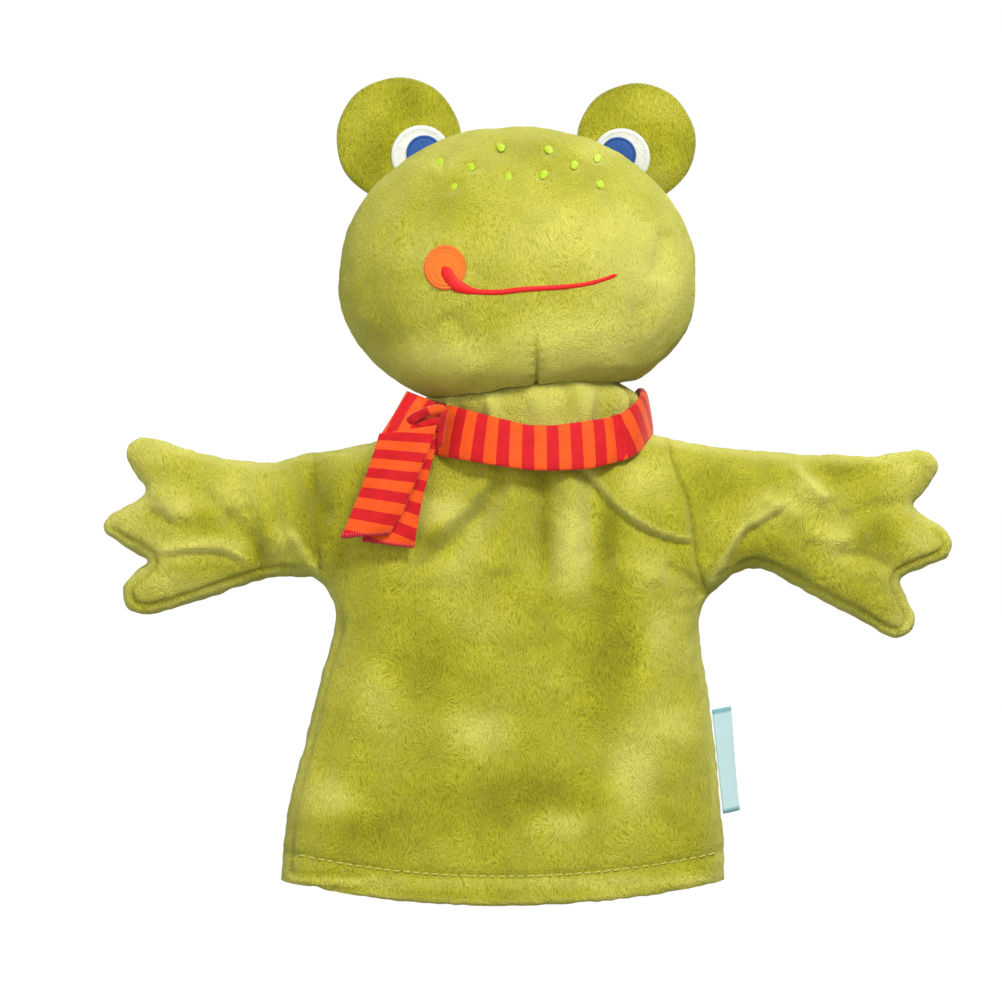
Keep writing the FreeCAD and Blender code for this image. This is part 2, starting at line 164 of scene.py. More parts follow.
def grid_faces(rows, columns, closed=False):
    """Quads over a grid of points, row by row. A closed grid joins its last column to its first."""
    faces = []
    for row in range(rows - 1):
        for column in range(columns if closed else columns - 1):
            after = (column + 1) % columns
            faces.append([row * columns + column, row * columns + after,
                          (row + 1) * columns + after, (row + 1) * columns + column])
    return faces


def ring_faces(rows, columns):
    """A closed grid whose last row also joins its first, as on a hose bent into a ring."""
    last = (rows - 1) * columns
    joint = [[last + i, last + (i + 1) % columns, (i + 1) % columns, i] for i in range(columns)]
    return grid_faces(rows, columns, closed=True) + joint


def tube_faces(rows, columns):
    """A closed grid with a cap on each end."""
    last = (rows - 1) * columns
    caps = [list(range(columns))[::-1], list(range(last, last + columns))]
    return grid_faces(rows, columns, closed=True) + caps


def disc_faces(rings, around):
    """A disc of rings, a second disc under it whose points follow the first's, and the rim between."""
    count, last = rings * around, (rings - 1) * around
    front = grid_faces(rings, around, closed=True) + [list(range(around))[::-1]]
    under = [[i + count for i in reversed(face)] for face in front]
    rim = [[last + i, last + i + count, last + (i + 1) % around + count, last + (i + 1) % around]
           for i in range(around)]
    return front + under + rim


def split_quads(quads):
    quads = np.asarray(quads)
    return np.vstack([quads[:, [0, 1, 2]], quads[:, [0, 2, 3]]])


# ---------------------------------------------------------------- materials

def shader_node(tree, kind, inputs=None, **settings):
    made = tree.nodes.new("ShaderNode" + kind)
    for key, value in settings.items():
        setattr(made, key, value)
    for key, value in (inputs or {}).items():
        if isinstance(value, bpy.types.NodeSocket):
            tree.links.new(value, made.inputs[key])
        else:
            made.inputs[key].default_value = value
    return made


def start_material(name, roughness, sheen, sheen_roughness=0.5, sheen_tint=(1, 1, 1)):
    material = bpy.data.materials.new(name)
    material.use_nodes = True
    tree = material.node_tree
    shader = tree.nodes["Principled BSDF"]
    shader.inputs["Roughness"].default_value = roughness
    shader.inputs["Sheen Weight"].default_value = sheen
    shader.inputs["Sheen Roughness"].default_value = sheen_roughness
    shader.inputs["Sheen Tint"].default_value = (*sheen_tint, 1)
    shader.inputs["Specular IOR Level"].default_value = 0.2
    place = shader_node(tree, "TexCoord").outputs["Object"]
    in_mm = shader_node(tree, "VectorMath", {0: place, "Scale": 1000.0}, operation="SCALE").outputs[0]
    return material, tree, shader, in_mm


def noise_at(tree, vector, scale, detail, stretch=None):
    """Noise whose grain is about 1/scale millimetres, drawn out where stretch is small."""
    if stretch:
        vector = shader_node(tree, "Mapping", {"Vector": vector, "Scale": stretch}).outputs[0]
    return shader_node(tree, "TexNoise", {"Vector": vector, "Scale": scale, "Detail": detail}).outputs


def attribute(tree, name):
    return shader_node(tree, "Attribute", attribute_name=name).outputs["Fac"]


def maths(tree, operation, *terms):
    return shader_node(tree, "Math", dict(enumerate(terms)), operation=operation).outputs[0]


def waves(tree, value, pitch):
    return maths(tree, "SINE", maths(tree, "MULTIPLY", value, 2 * math.pi / pitch))


def darker(colour, share):
    return tuple(share * c for c in colour)


def sum_of(tree, *terms):
    """The weighted sum of (weight, socket) terms."""
    total = 0.0
    for weight, socket in terms:
        total = maths(tree, "MULTIPLY_ADD", socket, weight, total)
    return total


def ramp(tree, factor, *stops):
    made = shader_node(tree, "ValToRGB", {"Fac": factor})
    elements = made.color_ramp.elements
    while len(elements) < len(stops):
        elements.new(0.5)
    for element, (position, colour) in zip(elements, stops):
        element.position = position
        element.color = (*colour, 1.0)
    return made.outputs["Color"]


def mixed(tree, factor, first, second, blend="MIX"):
    mix = shader_node(tree, "Mix", data_type="RGBA", blend_type=blend)
    sockets = {socket.identifier: socket for socket in mix.inputs}
    for key, value in (("Factor_Float", factor), ("A_Color", first), ("B_Color", second)):
        if isinstance(value, bpy.types.NodeSocket):
            tree.links.new(value, sockets[key])
        else:
            sockets[key].default_value = value if key == "Factor_Float" else (*value, 1.0)
    return next(socket for socket in mix.outputs if socket.identifier == "Result_Color")


def bumped(tree, shader, height, distance, strength):
    bump = shader_node(tree, "Bump", {"Height": height, "Distance": distance * MM, "Strength": strength})
    tree.links.new(bump.outputs[0], shader.inputs["Normal"])


def plush_material(name, dark, middle, light):
    """Short pile: lighter and darker by the way it lies, with painted light and painted shade from its
    per-point attribute, and parted here and there in short strokes, with painted shade in the partings.
    """
    material, tree, shader, in_mm = start_material(name, 0.9, 0.5, 0.4, (0.9, 0.95, 0.42))
    swirl = noise_at(tree, in_mm, 0.06, 1.0)["Color"]
    swirl = shader_node(tree, "VectorMath", {0: swirl, 1: (0.5, 0.5, 0.5)}, operation="SUBTRACT").outputs[0]
    warped = shader_node(tree, "VectorMath", {0: swirl, 1: (14.0, 14.0, 14.0), 2: in_mm},
                         operation="MULTIPLY_ADD").outputs[0]
    strokes = noise_at(tree, warped, 1.0, 2.0, (2.2, 2.2, 0.55))["Fac"]
    fuzz = noise_at(tree, in_mm, 3.2, 2.0)["Fac"]
    patch_lightness = noise_at(tree, in_mm, 0.045, 3.0)["Fac"]
    # the per-point attribute mixes how the pile lies with painted light and painted shade laid on the glove,
    # head, neck and ears
    shade = sum_of(tree, (0.28, attribute(tree, "nap_and_painted_light")), (0.38, patch_lightness), (0.56, strokes), (0.30, fuzz))
    colour = ramp(tree, shade, (0.35, dark), (0.63, middle), (0.95, light))
    # painted shade: the partings between strokes of pile are darkened, as shade falls into them
    parting_shade = ramp(tree, strokes, (0.30, (0.80, 0.78, 0.62)), (0.40, (1, 1, 1)))
    tree.links.new(mixed(tree, 1.0, colour, parting_shade, "MULTIPLY"), shader.inputs["Base Color"])
    bumped(tree, shader, sum_of(tree, (0.9, strokes), (0.5, fuzz)), 1.3, 0.9)
    return material


def felt_material(name, colour, border):
    """Felt with short tangled fibres. The stitched border takes the thread's own colour."""
    material, tree, shader, in_mm = start_material(name, 0.85, 0.3)
    fibres = noise_at(tree, in_mm, 1.6, 6.0)["Fac"]
    clumps = noise_at(tree, in_mm, 0.5, 3.0)["Fac"]
    shade = ramp(tree, sum_of(tree, (0.6, fibres), (0.5, clumps)),
                 (0.35, darker(colour, 0.78)), (0.75, colour))
    base = mixed(tree, attribute(tree, "thread"), shade, border)
    tree.links.new(base, shader.inputs["Base Color"])
    bumped(tree, shader, fibres, 0.5, 0.7)
    return material


def thread_material(name, colour):
    """Satin stitch: shiny embroidery thread, with painted shade between one stitch and the next."""
    material, tree, shader, in_mm = start_material(name, 0.5, 0.05)
    shader.inputs["Specular IOR Level"].default_value = 0.3
    strands = noise_at(tree, in_mm, 3.5, 3.0)["Fac"]
    # painted shade: this per-point attribute darkens the thread where its surface dips between stitches,
    # strands and loops, and elsewhere varies its tone at random
    thread_tone_and_shade = attribute(tree, "thread_tone_and_shade")
    shade = sum_of(tree, (0.8, thread_tone_and_shade), (0.35, strands))
    tree.links.new(ramp(tree, shade, (0.1, darker(colour, 0.45)), (0.8, colour)), shader.inputs["Base Color"])
    bumped(tree, shader, strands, 0.15, 0.5)
    return material


def jersey_material(name, first, second, stripe):
    """Striped scarf jersey: the stripes run across the strip, and fine knitted ribs run along it."""
    material, tree, shader, in_mm = start_material(name, 0.62, 0.35, 0.4, (1.0, 0.75, 0.6))
    run, across = attribute(tree, "run"), attribute(tree, "across")
    wander = noise_at(tree, in_mm, 0.35, 2.0)["Fac"]
    phase = maths(tree, "FRACT", sum_of(tree, (1.0 / (2 * stripe), run), (0.03, wander)))
    edge = maths(tree, "SMOOTH_MIN", maths(tree, "ABSOLUTE", maths(tree, "SUBTRACT", phase, 0.5)), 1.0, 0.0)
    second_stripe = maths(tree, "MULTIPLY_ADD", edge, 60.0, -14.5)
    second_stripe = maths(tree, "MINIMUM", maths(tree, "MAXIMUM", second_stripe, 0.0), 1.0)
    colour = mixed(tree, second_stripe, first, second)
    ribs, rows = waves(tree, across, 0.55), waves(tree, run, 0.7)
    cloth = noise_at(tree, in_mm, 0.25, 3.0)["Fac"]
    # random mottled wear, with painted shade in the valleys between the knitted ribs
    wear_and_rib_shade = ramp(tree, sum_of(tree, (0.8, cloth), (0.05, ribs)), (0.25, (0.8, 0.74, 0.74)), (0.6, (1, 1, 1)))
    tree.links.new(mixed(tree, 1.0, colour, wear_and_rib_shade, "MULTIPLY"), shader.inputs["Base Color"])
    bumped(tree, shader, sum_of(tree, (0.5, ribs), (0.35, rows)), 0.12, 0.6)
    return material


def plain_material(name, colour, roughness, grain, depth):
    """Filling and pocket lining: one colour, broken by its own fibres."""
    material, tree, shader, in_mm = start_material(name, roughness, 0.25)
    fibres = noise_at(tree, in_mm, grain, 5.0)["Fac"]
    shade = ramp(tree, fibres, (0.3, darker(colour, 0.8)), (0.65, colour))
    tree.links.new(shade, shader.inputs["Base Color"])
    bumped(tree, shader, fibres, depth, 0.8)
    return material


def ribbon_material(name, colour, border):
    """A woven ribbon: fine crossed threads, and a plain darker band along each edge."""
    material, tree, shader, _ = start_material(name, 0.5, 0.2)
    run, across = attribute(tree, "run"), attribute(tree, "across")
    weave = maths(tree, "MULTIPLY", waves(tree, run, 0.4), waves(tree, across, 0.4))
    tint = ramp(tree, sum_of(tree, (0.12, weave), (1.0, attribute(tree, "thread"))),
                (0.0, colour), (1.0, border))
    tree.links.new(tint, shader.inputs["Base Color"])
    bumped(tree, shader, weave, 0.08, 0.6)
    return material


PLUSH = plush_material("plush", (0.27, 0.26, 0.003), (0.46, 0.44, 0.020), (0.70, 0.66, 0.12))
FILLING = plain_material("fibre_filling", (0.86, 0.86, 0.82), 0.95, 0.45, 1.2)
POCKET = plain_material("pocket_lining", (0.35, 0.37, 0.07), 0.8, 1.8, 0.25)
WHITE_FELT = felt_material("white_felt", (0.83, 0.83, 0.76), (0.72, 0.74, 0.70))
ORANGE_FELT = felt_material("orange_felt", (0.93, 0.20, 0.022), (0.93, 0.13, 0.015))
BLUE_THREAD = thread_material("blue_thread", (0.020, 0.088, 0.34))
RED_THREAD = thread_material("red_thread", (0.74, 0.007, 0.007))
LIME_THREAD = thread_material("lime_thread", (0.50, 0.68, 0.02))
GREEN_THREAD = thread_material("green_thread", (0.60, 0.60, 0.12))
OVERLOCK = thread_material("overlock_thread", (0.66, 0.05, 0.07))
SCARF_STRIPE = 3.9
SCARF = jersey_material("scarf_jersey", (0.66, 0.006, 0.012), (0.95, 0.10, 0.008), SCARF_STRIPE)
RIBBON = ribbon_material("label_ribbon", (0.56, 0.80, 0.80), (0.16, 0.42, 0.46))


def finish_piece(piece, material, slot, *nodes):
    piece.name = piece.data.name = piece.name.split(".")[0] + "_visual"
    piece.data.materials.append(material)
    if nodes:
        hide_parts(*nodes)
    return piece


# ---------------------------------------------------------------- the glove: one cut, two layers

HEM_RADIUS = 345.0
HEM_MIDDLE = np.array([-4.7, HEM_RADIUS])
PLUSH_THICK = 1.8
WRIST_X = 84.0
GLOVE_DEPTH, GLOVE_ROUNDNESS = 26.0, 33.0
HEM_STITCH_RISE = 9.6
FINE, COARSE = 1.25, 2.1   # the spacing of points where the cloth is folded, and where it is smooth
RING_STEP = 1.6
NECK_HALF, NECK_LINE = 30, 157.5   # where the glove's cut goes straight across, hidden inside the neck
ARMPIT = 98
FOLD_STEP = 2.0
CUT_SPARE, CUT_SHARE = 1.12, 0.9   # a panel's rectangle is this much larger, and this share of it is used

SHOULDER_ARM_LEFT = [(30, 157.5), (46.5, 152.6), (65, 149.2), (90, 146.8), (107, 146.4), (118.5, 146.2),
                     (126.5, 147.6), (131.5, 148), (135.6, 146.4), (137.6, 142.8), (135.6, 138),
                     (132, 133.2), (129.3, 129.9), (133.5, 126.3), (138.5, 123.2), (141.5, 120),
                     (142.3, 116.5), (140.4, 113), (135.5, 110.7), (129.7, 108.4), (125.2, 105.9),
                     (126.3, 102), (128.3, 97.5), (130, 93.5), (129.4, 90), (126.3, 87.4), (121.9, 87),
                     (111, 93), (97, 100.3), (83.6, 107.8), (77, 109.4), (71.5, 107.6), (66, 103.5),
                     (61.8, 99), (59.8, 94), (59.6, 88), (61.8, 72.9), (64.4, 53.3), (66.4, 33.7),
                     (67.7, 17.3), (67.7, 7.7)]
HEM_ARM_RIGHT = [(-77.1, 7.7), (-76.5, 17.3), (-74.2, 33.7), (-69, 53.3), (-64.1, 72.9), (-59.2, 92.5),
                 (-61.5, 101.5), (-65.4, 105.6), (-69.5, 106.7), (-80, 106.4), (-92, 102.9), (-107, 97.7),
                 (-118, 94.6), (-123.5, 94.6), (-127.2, 96.6), (-128.8, 100.5), (-128, 104.8),
                 (-124.5, 108.6), (-120.6, 111.8), (-126, 115.2), (-131.5, 118.7), (-134.5, 121.2),
                 (-134.9, 124), (-132.5, 127), (-127, 130.4), (-121.3, 134.4), (-124, 139.5),
                 (-126.6, 143.4), (-127.7, 147.6), (-125.6, 150.7), (-121, 152.1), (-114, 150.6),
                 (-101.7, 146.5), (-90, 144.6), (-79, 144), (-71, 146.4), (-54.6, 148.9), (-38, 153),
                 (-30, 157.5)]
ARMHOLE = {"left": [(48.5, 162), (49.7, 149.7), (52.3, 139.9), (55.6, 132.1), (57.5, 121.3), (58.4, 112),
                    (60.3, 106), (63, 100), (67, 92)],
           "right": [(-66.2, 156), (-66, 147), (-65.5, 130), (-65, 117), (-64, 109), (-63, 103), (-60, 95)]}


def hem_rise(points):
    """The height above the lower edge of the hem, across its curve."""
    return HEM_RADIUS - np.linalg.norm(points - HEM_MIDDLE, axis=1)


def nearest_on(points, line):
    """Each point's distance to a line, on its left (+) or right (-), and how far along that is, 0 to 1."""
    middles = (line[1:] + line[:-1]) / 2
    runs = line[1:] - line[:-1]
    offsets = points[:, None] - line[None, :-1]
    part = np.clip((offsets * runs).sum(-1) / (runs ** 2).sum(-1), 0, 1)
    gaps = offsets - part[..., None] * runs
    distances = np.linalg.norm(gaps, axis=-1)
    best = distances.argmin(axis=1)
    row = np.arange(len(points))
    run, gap = runs[best], points - line[best]
    side = np.sign(run[:, 0] * gap[:, 1] - run[:, 1] * gap[:, 0])
    return distances[row, best] * side, (best + part[row, best]) / len(middles)


def glove_outline():
    """The seam from the neck round one arm to the hem, the hem's own arc, and the seam back to the neck."""
    down = curve_through(SHOULDER_ARM_LEFT, 1.25)
    angles = np.arctan2(down[-1, 0] - HEM_MIDDLE[0], HEM_MIDDLE[1] - down[-1, 1])
    sweep = np.linspace(angles, -angles, 110)[1:-1]
    hem = HEM_MIDDLE + HEM_RADIUS * np.stack([np.sin(sweep), -np.cos(sweep)], axis=1)
    up = curve_through(HEM_ARM_RIGHT, 1.25)
    neck = np.stack([np.linspace(-NECK_HALF, NECK_HALF, 48)[1:-1], np.full(46, NECK_LINE)], axis=1)
    return down, hem, up, neck


def inside_outline(points, outline):
    ahead = np.roll(outline, -1, axis=0)
    crossing = (outline[None, :, 1] > points[:, None, 1]) != (ahead[None, :, 1] > points[:, None, 1])
    rise = np.where(ahead[:, 1] == outline[:, 1], 1e-9, ahead[:, 1] - outline[:, 1])
    reach = outline[:, 0] + (points[:, None, 1] - outline[:, 1]) / rise * (ahead[:, 0] - outline[:, 0])
    return (crossing & (points[:, None, 0] < reach)).sum(axis=1) % 2 == 1


def seam_inset(points):
    """How far in front of the silhouette the side seam shows: furthest under the arms."""
    x, z = points.T
    under = 1 - smoothstep(118, 128, z)
    right_arm = 1.9 * smoothstep(-67, -76, x) * under
    left_arm = 1.5 * smoothstep(66, 76, x) * under
    right_side = 1.1 * smoothstep(-40, -55, x) * (1 - smoothstep(92, 100, z))
    return 1.2 + np.maximum(np.maximum(right_arm, left_arm), right_side)


class Glove:
    """One triangulation of the whole glove, with its cuts, and the height of cloth above it."""

    def __init__(self):
        down, hem, up, neck = glove_outline()
        self.outline = np.vstack([down, hem, up, neck])
        self.sewn = np.vstack([down, up[:1]]), up
        self.cuts = {side: curve_through(ARMHOLE[side], 1.3) for side in SIDES}
        self.lay_out_points(down, hem, up)
        self.inflate()

    def side_distance(self, points):
        return np.minimum(*[np.abs(nearest_on(points, line)[0]) for line in self.sewn])

    def lay_out_points(self, down, hem, up):
        outline = self.outline
        rings = []
        for line in (down, up):
            across = unit(np.gradient(line, axis=0))[:, ::-1] * (1, -1)
            inset = seam_inset(line)[:, None]
            for step in (0.25, 0.6, 1.0, *(1.0 + beyond / RING_STEP for beyond in (0.7, 1.5, 2.6))):
                offset = inset * step if step <= 1 else inset + (step - 1) * RING_STEP
                moved = line + across * offset
                kept = self.side_distance(moved) > offset[:, 0] - 0.06
                rings.append((moved, kept & inside_outline(moved, outline), step == 1.0))
        outward = unit(hem - HEM_MIDDLE)
        for rise in (0.35, 0.9, 1.6, 2.6, 8.2, 9.0, 9.6, 10.2, 11.0):
            moved = hem - outward * rise
            rings.append((moved, self.side_distance(moved) > 4.2, rise == HEM_STITCH_RISE))
        for line in self.cuts.values():
            across = unit(np.gradient(line, axis=0))[:, ::-1] * (1, -1)
            for offset in (0.0, -0.7, 0.7, -RING_STEP, RING_STEP):
                moved = line + across * offset
                kept = inside_outline(moved, outline) & (self.side_distance(moved) > 0.5)
                rings.append((moved, kept, offset == 0.0))
        for wrist in (-WRIST_X, WRIST_X):
            line = np.stack([np.full(60, wrist), np.linspace(90, 152, 60)], axis=1)
            kept = inside_outline(line, outline) & (self.side_distance(line) > 0.3)
            rings.append((line, kept, True))

        points, edges, count = [outline], [], len(outline)
        edges += [(i, (i + 1) % count) for i in range(count)]
        for line, kept, is_cut in rings:
            number = np.cumsum(kept) - 1 + count
            if is_cut:
                edges += [(number[i], number[i + 1]) for i in range(len(line) - 1) if kept[i] and kept[i + 1]]
            points.append(line[kept])
            count += kept.sum()
        lined = np.vstack(points)

        for spacing, wanted in ((FINE, True), (COARSE, False)):
            columns, rows = np.meshgrid(np.arange(-140, 145, spacing), np.arange(1, 158, spacing * 0.866))
            columns = columns + (np.arange(len(rows)) % 2)[:, None] * spacing / 2
            grid = np.stack([columns.ravel(), rows.ravel()], axis=1)
            grid = grid[inside_outline(grid, outline)]
            folded = (grid[:, 1] > 90) | (self.side_distance(grid) < 5)
            grid = grid[folded == wanted]
            gaps = np.concatenate([np.linalg.norm(part[:, None] - lined, axis=2).min(axis=1)
                                   for part in np.array_split(grid, 40)])
            points.append(grid[gaps > spacing * 0.62])
        points = np.vstack(points)
        found = delaunay_2d_cdt([Vector(p) for p in points], edges, [], 0, 1e-5)
        self.flat = np.array([tuple(v) for v in found[0]])
        triangles = np.array(found[2])
        inside = inside_outline(self.flat[triangles].mean(axis=1), outline)
        self.triangles = triangles[inside]
        corners = self.flat[self.triangles]
        first, second = corners[:, 1] - corners[:, 0], corners[:, 2] - corners[:, 0]
        clockwise = first[:, 0] * second[:, 1] - first[:, 1] * second[:, 0] < 0
        self.triangles[clockwise] = self.triangles[clockwise][:, ::-1]

    def inflate(self):
        """The height of a blown-up seam: solve laplacian(u) = -2 with u = 0 where it is sewn."""
        flat, triangles = self.flat, self.triangles
        count = len(flat)
        starts, ends, weights = [], [], []
        area = np.zeros(count)
        for corner in range(3):
            a, b, c = triangles[:, corner], triangles[:, (corner + 1) % 3], triangles[:, (corner + 2) % 3]
            to_b, to_c = flat[b] - flat[a], flat[c] - flat[a]
            double = np.abs(to_b[:, 0] * to_c[:, 1] - to_b[:, 1] * to_c[:, 0])
            weight = (to_b * to_c).sum(axis=1) / np.maximum(double, 1e-6) / 2
            starts += [b, c]
            ends += [c, b]
            weights += [weight, weight]
            area += np.bincount(a, double / 6, count)
        starts, ends, weights = map(np.concatenate, (starts, ends, weights))
        self.side = self.side_distance(flat)
        free = self.side > 1e-3
        diagonal = np.bincount(starts, weights, count)
        diagonal[diagonal == 0] = 1.0

        def applied(u):
            return np.where(free, diagonal * u - np.bincount(starts, weights * u[ends], count), 0)

        u = np.zeros(count)
        left = np.where(free, 2 * area, 0)
        step = left / diagonal
        strength = (left * step).sum()
        for _ in range(900):
            image = applied(step)
            along = strength / (step * image).sum()
            u += along * step
            left -= along * image
            fresh = (left * left / diagonal).sum()
            if fresh < 1e-6:
                break
            step = left / diagonal + fresh / strength * step
            strength = fresh
        self.swell = np.sqrt(np.maximum(u, 0))
        self.depth = GLOVE_DEPTH * (1 - np.exp(-self.swell / GLOVE_ROUNDNESS))


FRONT_FOLDS = [  # valleys and ridges in the cloth: line, width, rise
    ([(46.4, 110.5), (53.3, 107.5), (59.5, 102.6), (61, 99)], 2.0, -2.0),
    ([(50, 99), (55.9, 100.6), (61, 99.6)], 1.5, -1.2),
    ([(26, 148), (26, 134), (25, 120), (27, 104)], 3.8, -3.0),
    ([(17, 148), (18, 131), (17.8, 112), (19, 94)], 4.2, 3.2),
    ([(8, 148), (9.5, 134), (8.8, 118), (10, 100)], 3.0, -2.8),
    ([(2, 148), (-1, 134), (-4, 120), (-8, 104)], 4.0, 2.4),
    ([(-2, 146), (-8, 134), (-15, 122), (-24, 108)], 3.4, -3.0),
    ([(-2, 143), (-12, 135), (-22, 126), (-33, 118)], 3.6, 3.4),
    ([(-6, 131), (-16, 123), (-26, 114), (-38, 106)], 3.0, -2.6),
    ([(-28, 137), (-36, 128), (-42, 118)], 3.0, -1.8),
    ([(-30, 112), (-42, 104), (-52, 90)], 5.0, 1.4),
    ([(34, 146.5), (38.5, 145.4), (43, 143.6)], 1.6, -1.5),
    ([(30, 112), (40, 108), (50, 106)], 4.0, 1.6),
    ([(-46, 150), (-50, 140), (-50, 128), (-46, 116)], 4.0, -1.4),
    ([(-40, 92), (-22, 84), (0, 84), (22, 90)], 6.0, -1.0),
    ([(-71.5, 147), (-69.5, 140), (-65, 131), (-60, 123)], 3.4, -2.6),
    ([(-78, 146), (-76, 136), (-73, 126), (-72, 114)], 3.4, 1.8),
    ([(-87, 144), (-85, 133), (-81, 122), (-76, 113)], 3.0, 1.8),
    ([(-97, 127), (-88, 120), (-83, 112), (-81, 107)], 2.8, -2.2),
    ([(-90, 122), (-96.1, 128), (-104.3, 135), (-118, 142.5)], 3.0, -2.0),
    ([(-122, 136), (-114, 130.5), (-105, 124.5)], 2.6, 2.4),
    ([(-121, 128.5), (-117, 126.5), (-112, 122.5)], 1.8, -1.6),
    ([(90, 146), (94, 139.8), (98, 135.5), (104, 131)], 2.6, 1.6),
    ([(124, 108.4), (115, 112.5), (102, 114.3)], 2.2, -2.2),
    ([(104, 124), (114, 128.5), (127, 130.6)], 3.0, -2.2),
    ([(92, 122), (104, 119), (116, 122)], 3.0, 1.6),
    ([(78, 132), (86, 130), (94, 124)], 2.4, 1.2),
    ([(-56, 84), (-60, 60), (-62, 36)], 6.0, -1.2),
    ([(34, 76), (44, 56), (48, 34)], 8.0, 1.4),
    ([(20, 84), (24, 60), (22, 36)], 6.0, -1.4),
    ([(-14, 78), (-16, 54), (-12, 30)], 7.0, -1.2),
    ([(-36, 70), (-40, 48), (-38, 24)], 7.0, 1.2),
]
BACK_FOLDS = [
    ([(-34, 146), (-28, 128), (-26, 108)], 5.0, -1.7),
    ([(4, 148), (2, 126), (4, 104)], 5.5, -1.7),
    ([(34, 146), (30, 128), (28, 112)], 5.0, -1.6),
    ([(-66, 108), (-56, 114), (-44, 122)], 3.0, -1.6),
    ([(62, 104), (52, 112), (42, 122)], 3.0, -1.7),
    ([(-100, 132), (-88, 126), (-76, 124)], 3.0, -1.5),
    ([(104, 132), (90, 128), (76, 126)], 3.0, -1.5),
    ([(-50, 50), (-20, 60), (20, 56), (46, 64)], 9.0, -1.4),
]
OVERLAPS = [  # cloth that folds over itself, raised on the line's left: line, rise, spread, step
    ([(16, 149), (22.5, 141), (29, 133.6), (34.6, 128), (43, 122.4), (52, 119.2), (62, 117.8)],
     2.4, 8.0, 1.0),
    ([(61, 100), (64.5, 106), (67.7, 111.5), (71, 118), (74.2, 122.3), (80, 125.5), (90, 132.5)],
     2.2, 6.0, 1.0),
    ([(102.6, 132.2), (97.3, 135.6), (93.5, 139.8), (91.3, 145.5)], 2.2, 5.0, 1.1),
    ([(-61, 104), (-65.4, 109.5), (-70, 116.4), (-74, 124)], 2.0, 5.0, 1.0),
    ([(-86, 109), (-89.8, 112.6), (-96, 115.4), (-107, 115.6), (-121, 113.6)][::-1], 1.8, 4.0, 1.1),
]
NAP_AND_LIGHT_PATCHES = [  # lighter and darker patches, partly how the pile lies and partly painted light and painted shade (darker along creases, lighter where the lamps leave the cloth dim): x, z, half width, half height, lighter (+) or darker (-)
    (18, 116, 6, 18, 1.5), (-22, 112, 14, 16, 0.6), (44, 110, 8, 8, 0.6), (-45, 70, 9, 10, 0.6),
    (-112, 122, 24, 24, 0.9), (118, 118, 24, 24, 0.3), (42, 62, 12, 20, 0.5), (-86, 128, 14, 16, -0.2),
    (-12, 57, 10, 7, 1.2), (-2, 36, 26, 8, -0.8), (15, 27, 10, 5, 1.0), (37, 43, 9, 12, 1.1),
    (-60, 35, 8, 6, 1.1), (-30, 80, 10, 12, -0.9), (-48, 25, 16, 6, -0.8), (32, 78, 10, 14, -0.8),
    (46, 88, 6, 8, 1.0), (52, 58, 8, 6, 0.8), (60, 20, 10, 10, -0.5), (-44, 134, 8, 8, 0.5),
    (42, 138, 12, 8, 0.8), (-24, 129, 8, 5, 1.0), (-26, 118, 7, 5, -0.8), (-90, 134, 9, 8, 0.7),
    (-112, 104, 12, 6, 0.5), (-118, 147, 8, 4, 0.7), (-112, 129, 6, 3, 1.2), (-118, 126.5, 4, 2.5, -0.7),
    (-103, 124, 12, 6, -0.7), (-104, 109, 14, 3, -0.6), (-98, 117.5, 12, 2.5, 0.8), (-64, 134, 7, 10, -1.1),
    (-76, 118, 5, 9, 0.9), (-84, 115, 3, 7, -0.9), (78, 114, 8, 5, -0.7), (84, 130, 10, 5, 0.9),
    (96, 137, 7, 4, 0.8), (104, 141, 8, 4, -0.9), (118, 121, 9, 7, -1.2), (104, 119, 6, 6, 0.7),
    (112, 103, 8, 5, -0.4), (132, 118, 6, 4, 0.8), (128, 142, 6, 4, 0.7), (126, 92, 5, 4, 0.9),
    (64, 138, 9, 8, -0.6), (30, 122, 4, 14, -1.3), (9, 122, 3, 14, -1.2), (-64, 122, 4, 8, -0.6),
    (26, 96, 20, 8, -0.4), (-10, 92, 14, 6, 0.4),
]


def along_fade(along):
    return smoothstep(0, 0.18, along) * (1 - smoothstep(0.82, 1, along))


def creases(points, folds):
    rise = np.zeros(len(points))
    for line, width, height in folds:
        distance, along = nearest_on(points, curve_through(line, FOLD_STEP))
        rise += height * bell(distance, width) * along_fade(along)
    return rise


def overlaps(points, folds):
    rise = np.zeros(len(points))
    for line, height, spread, step in folds:
        distance, along = nearest_on(points, curve_through(line, FOLD_STEP))
        raised = np.where(distance > 0, bell(distance, spread), 1 - smoothstep(0, step, -distance))
        valley = 0.3 * bell(distance + 1.6 * step, 1.4 * step)
        rise += height * along_fade(along) * (raised - valley)
    return rise


def patch_lightness(points, patches):
    lightness = np.zeros(len(points))
    for x, z, half_width, half_height, amount in patches:
        reach = ((points[:, 0] - x) / half_width) ** 2 + ((points[:, 1] - z) / half_height) ** 2
        lightness += amount * np.exp(-reach)
    return lightness


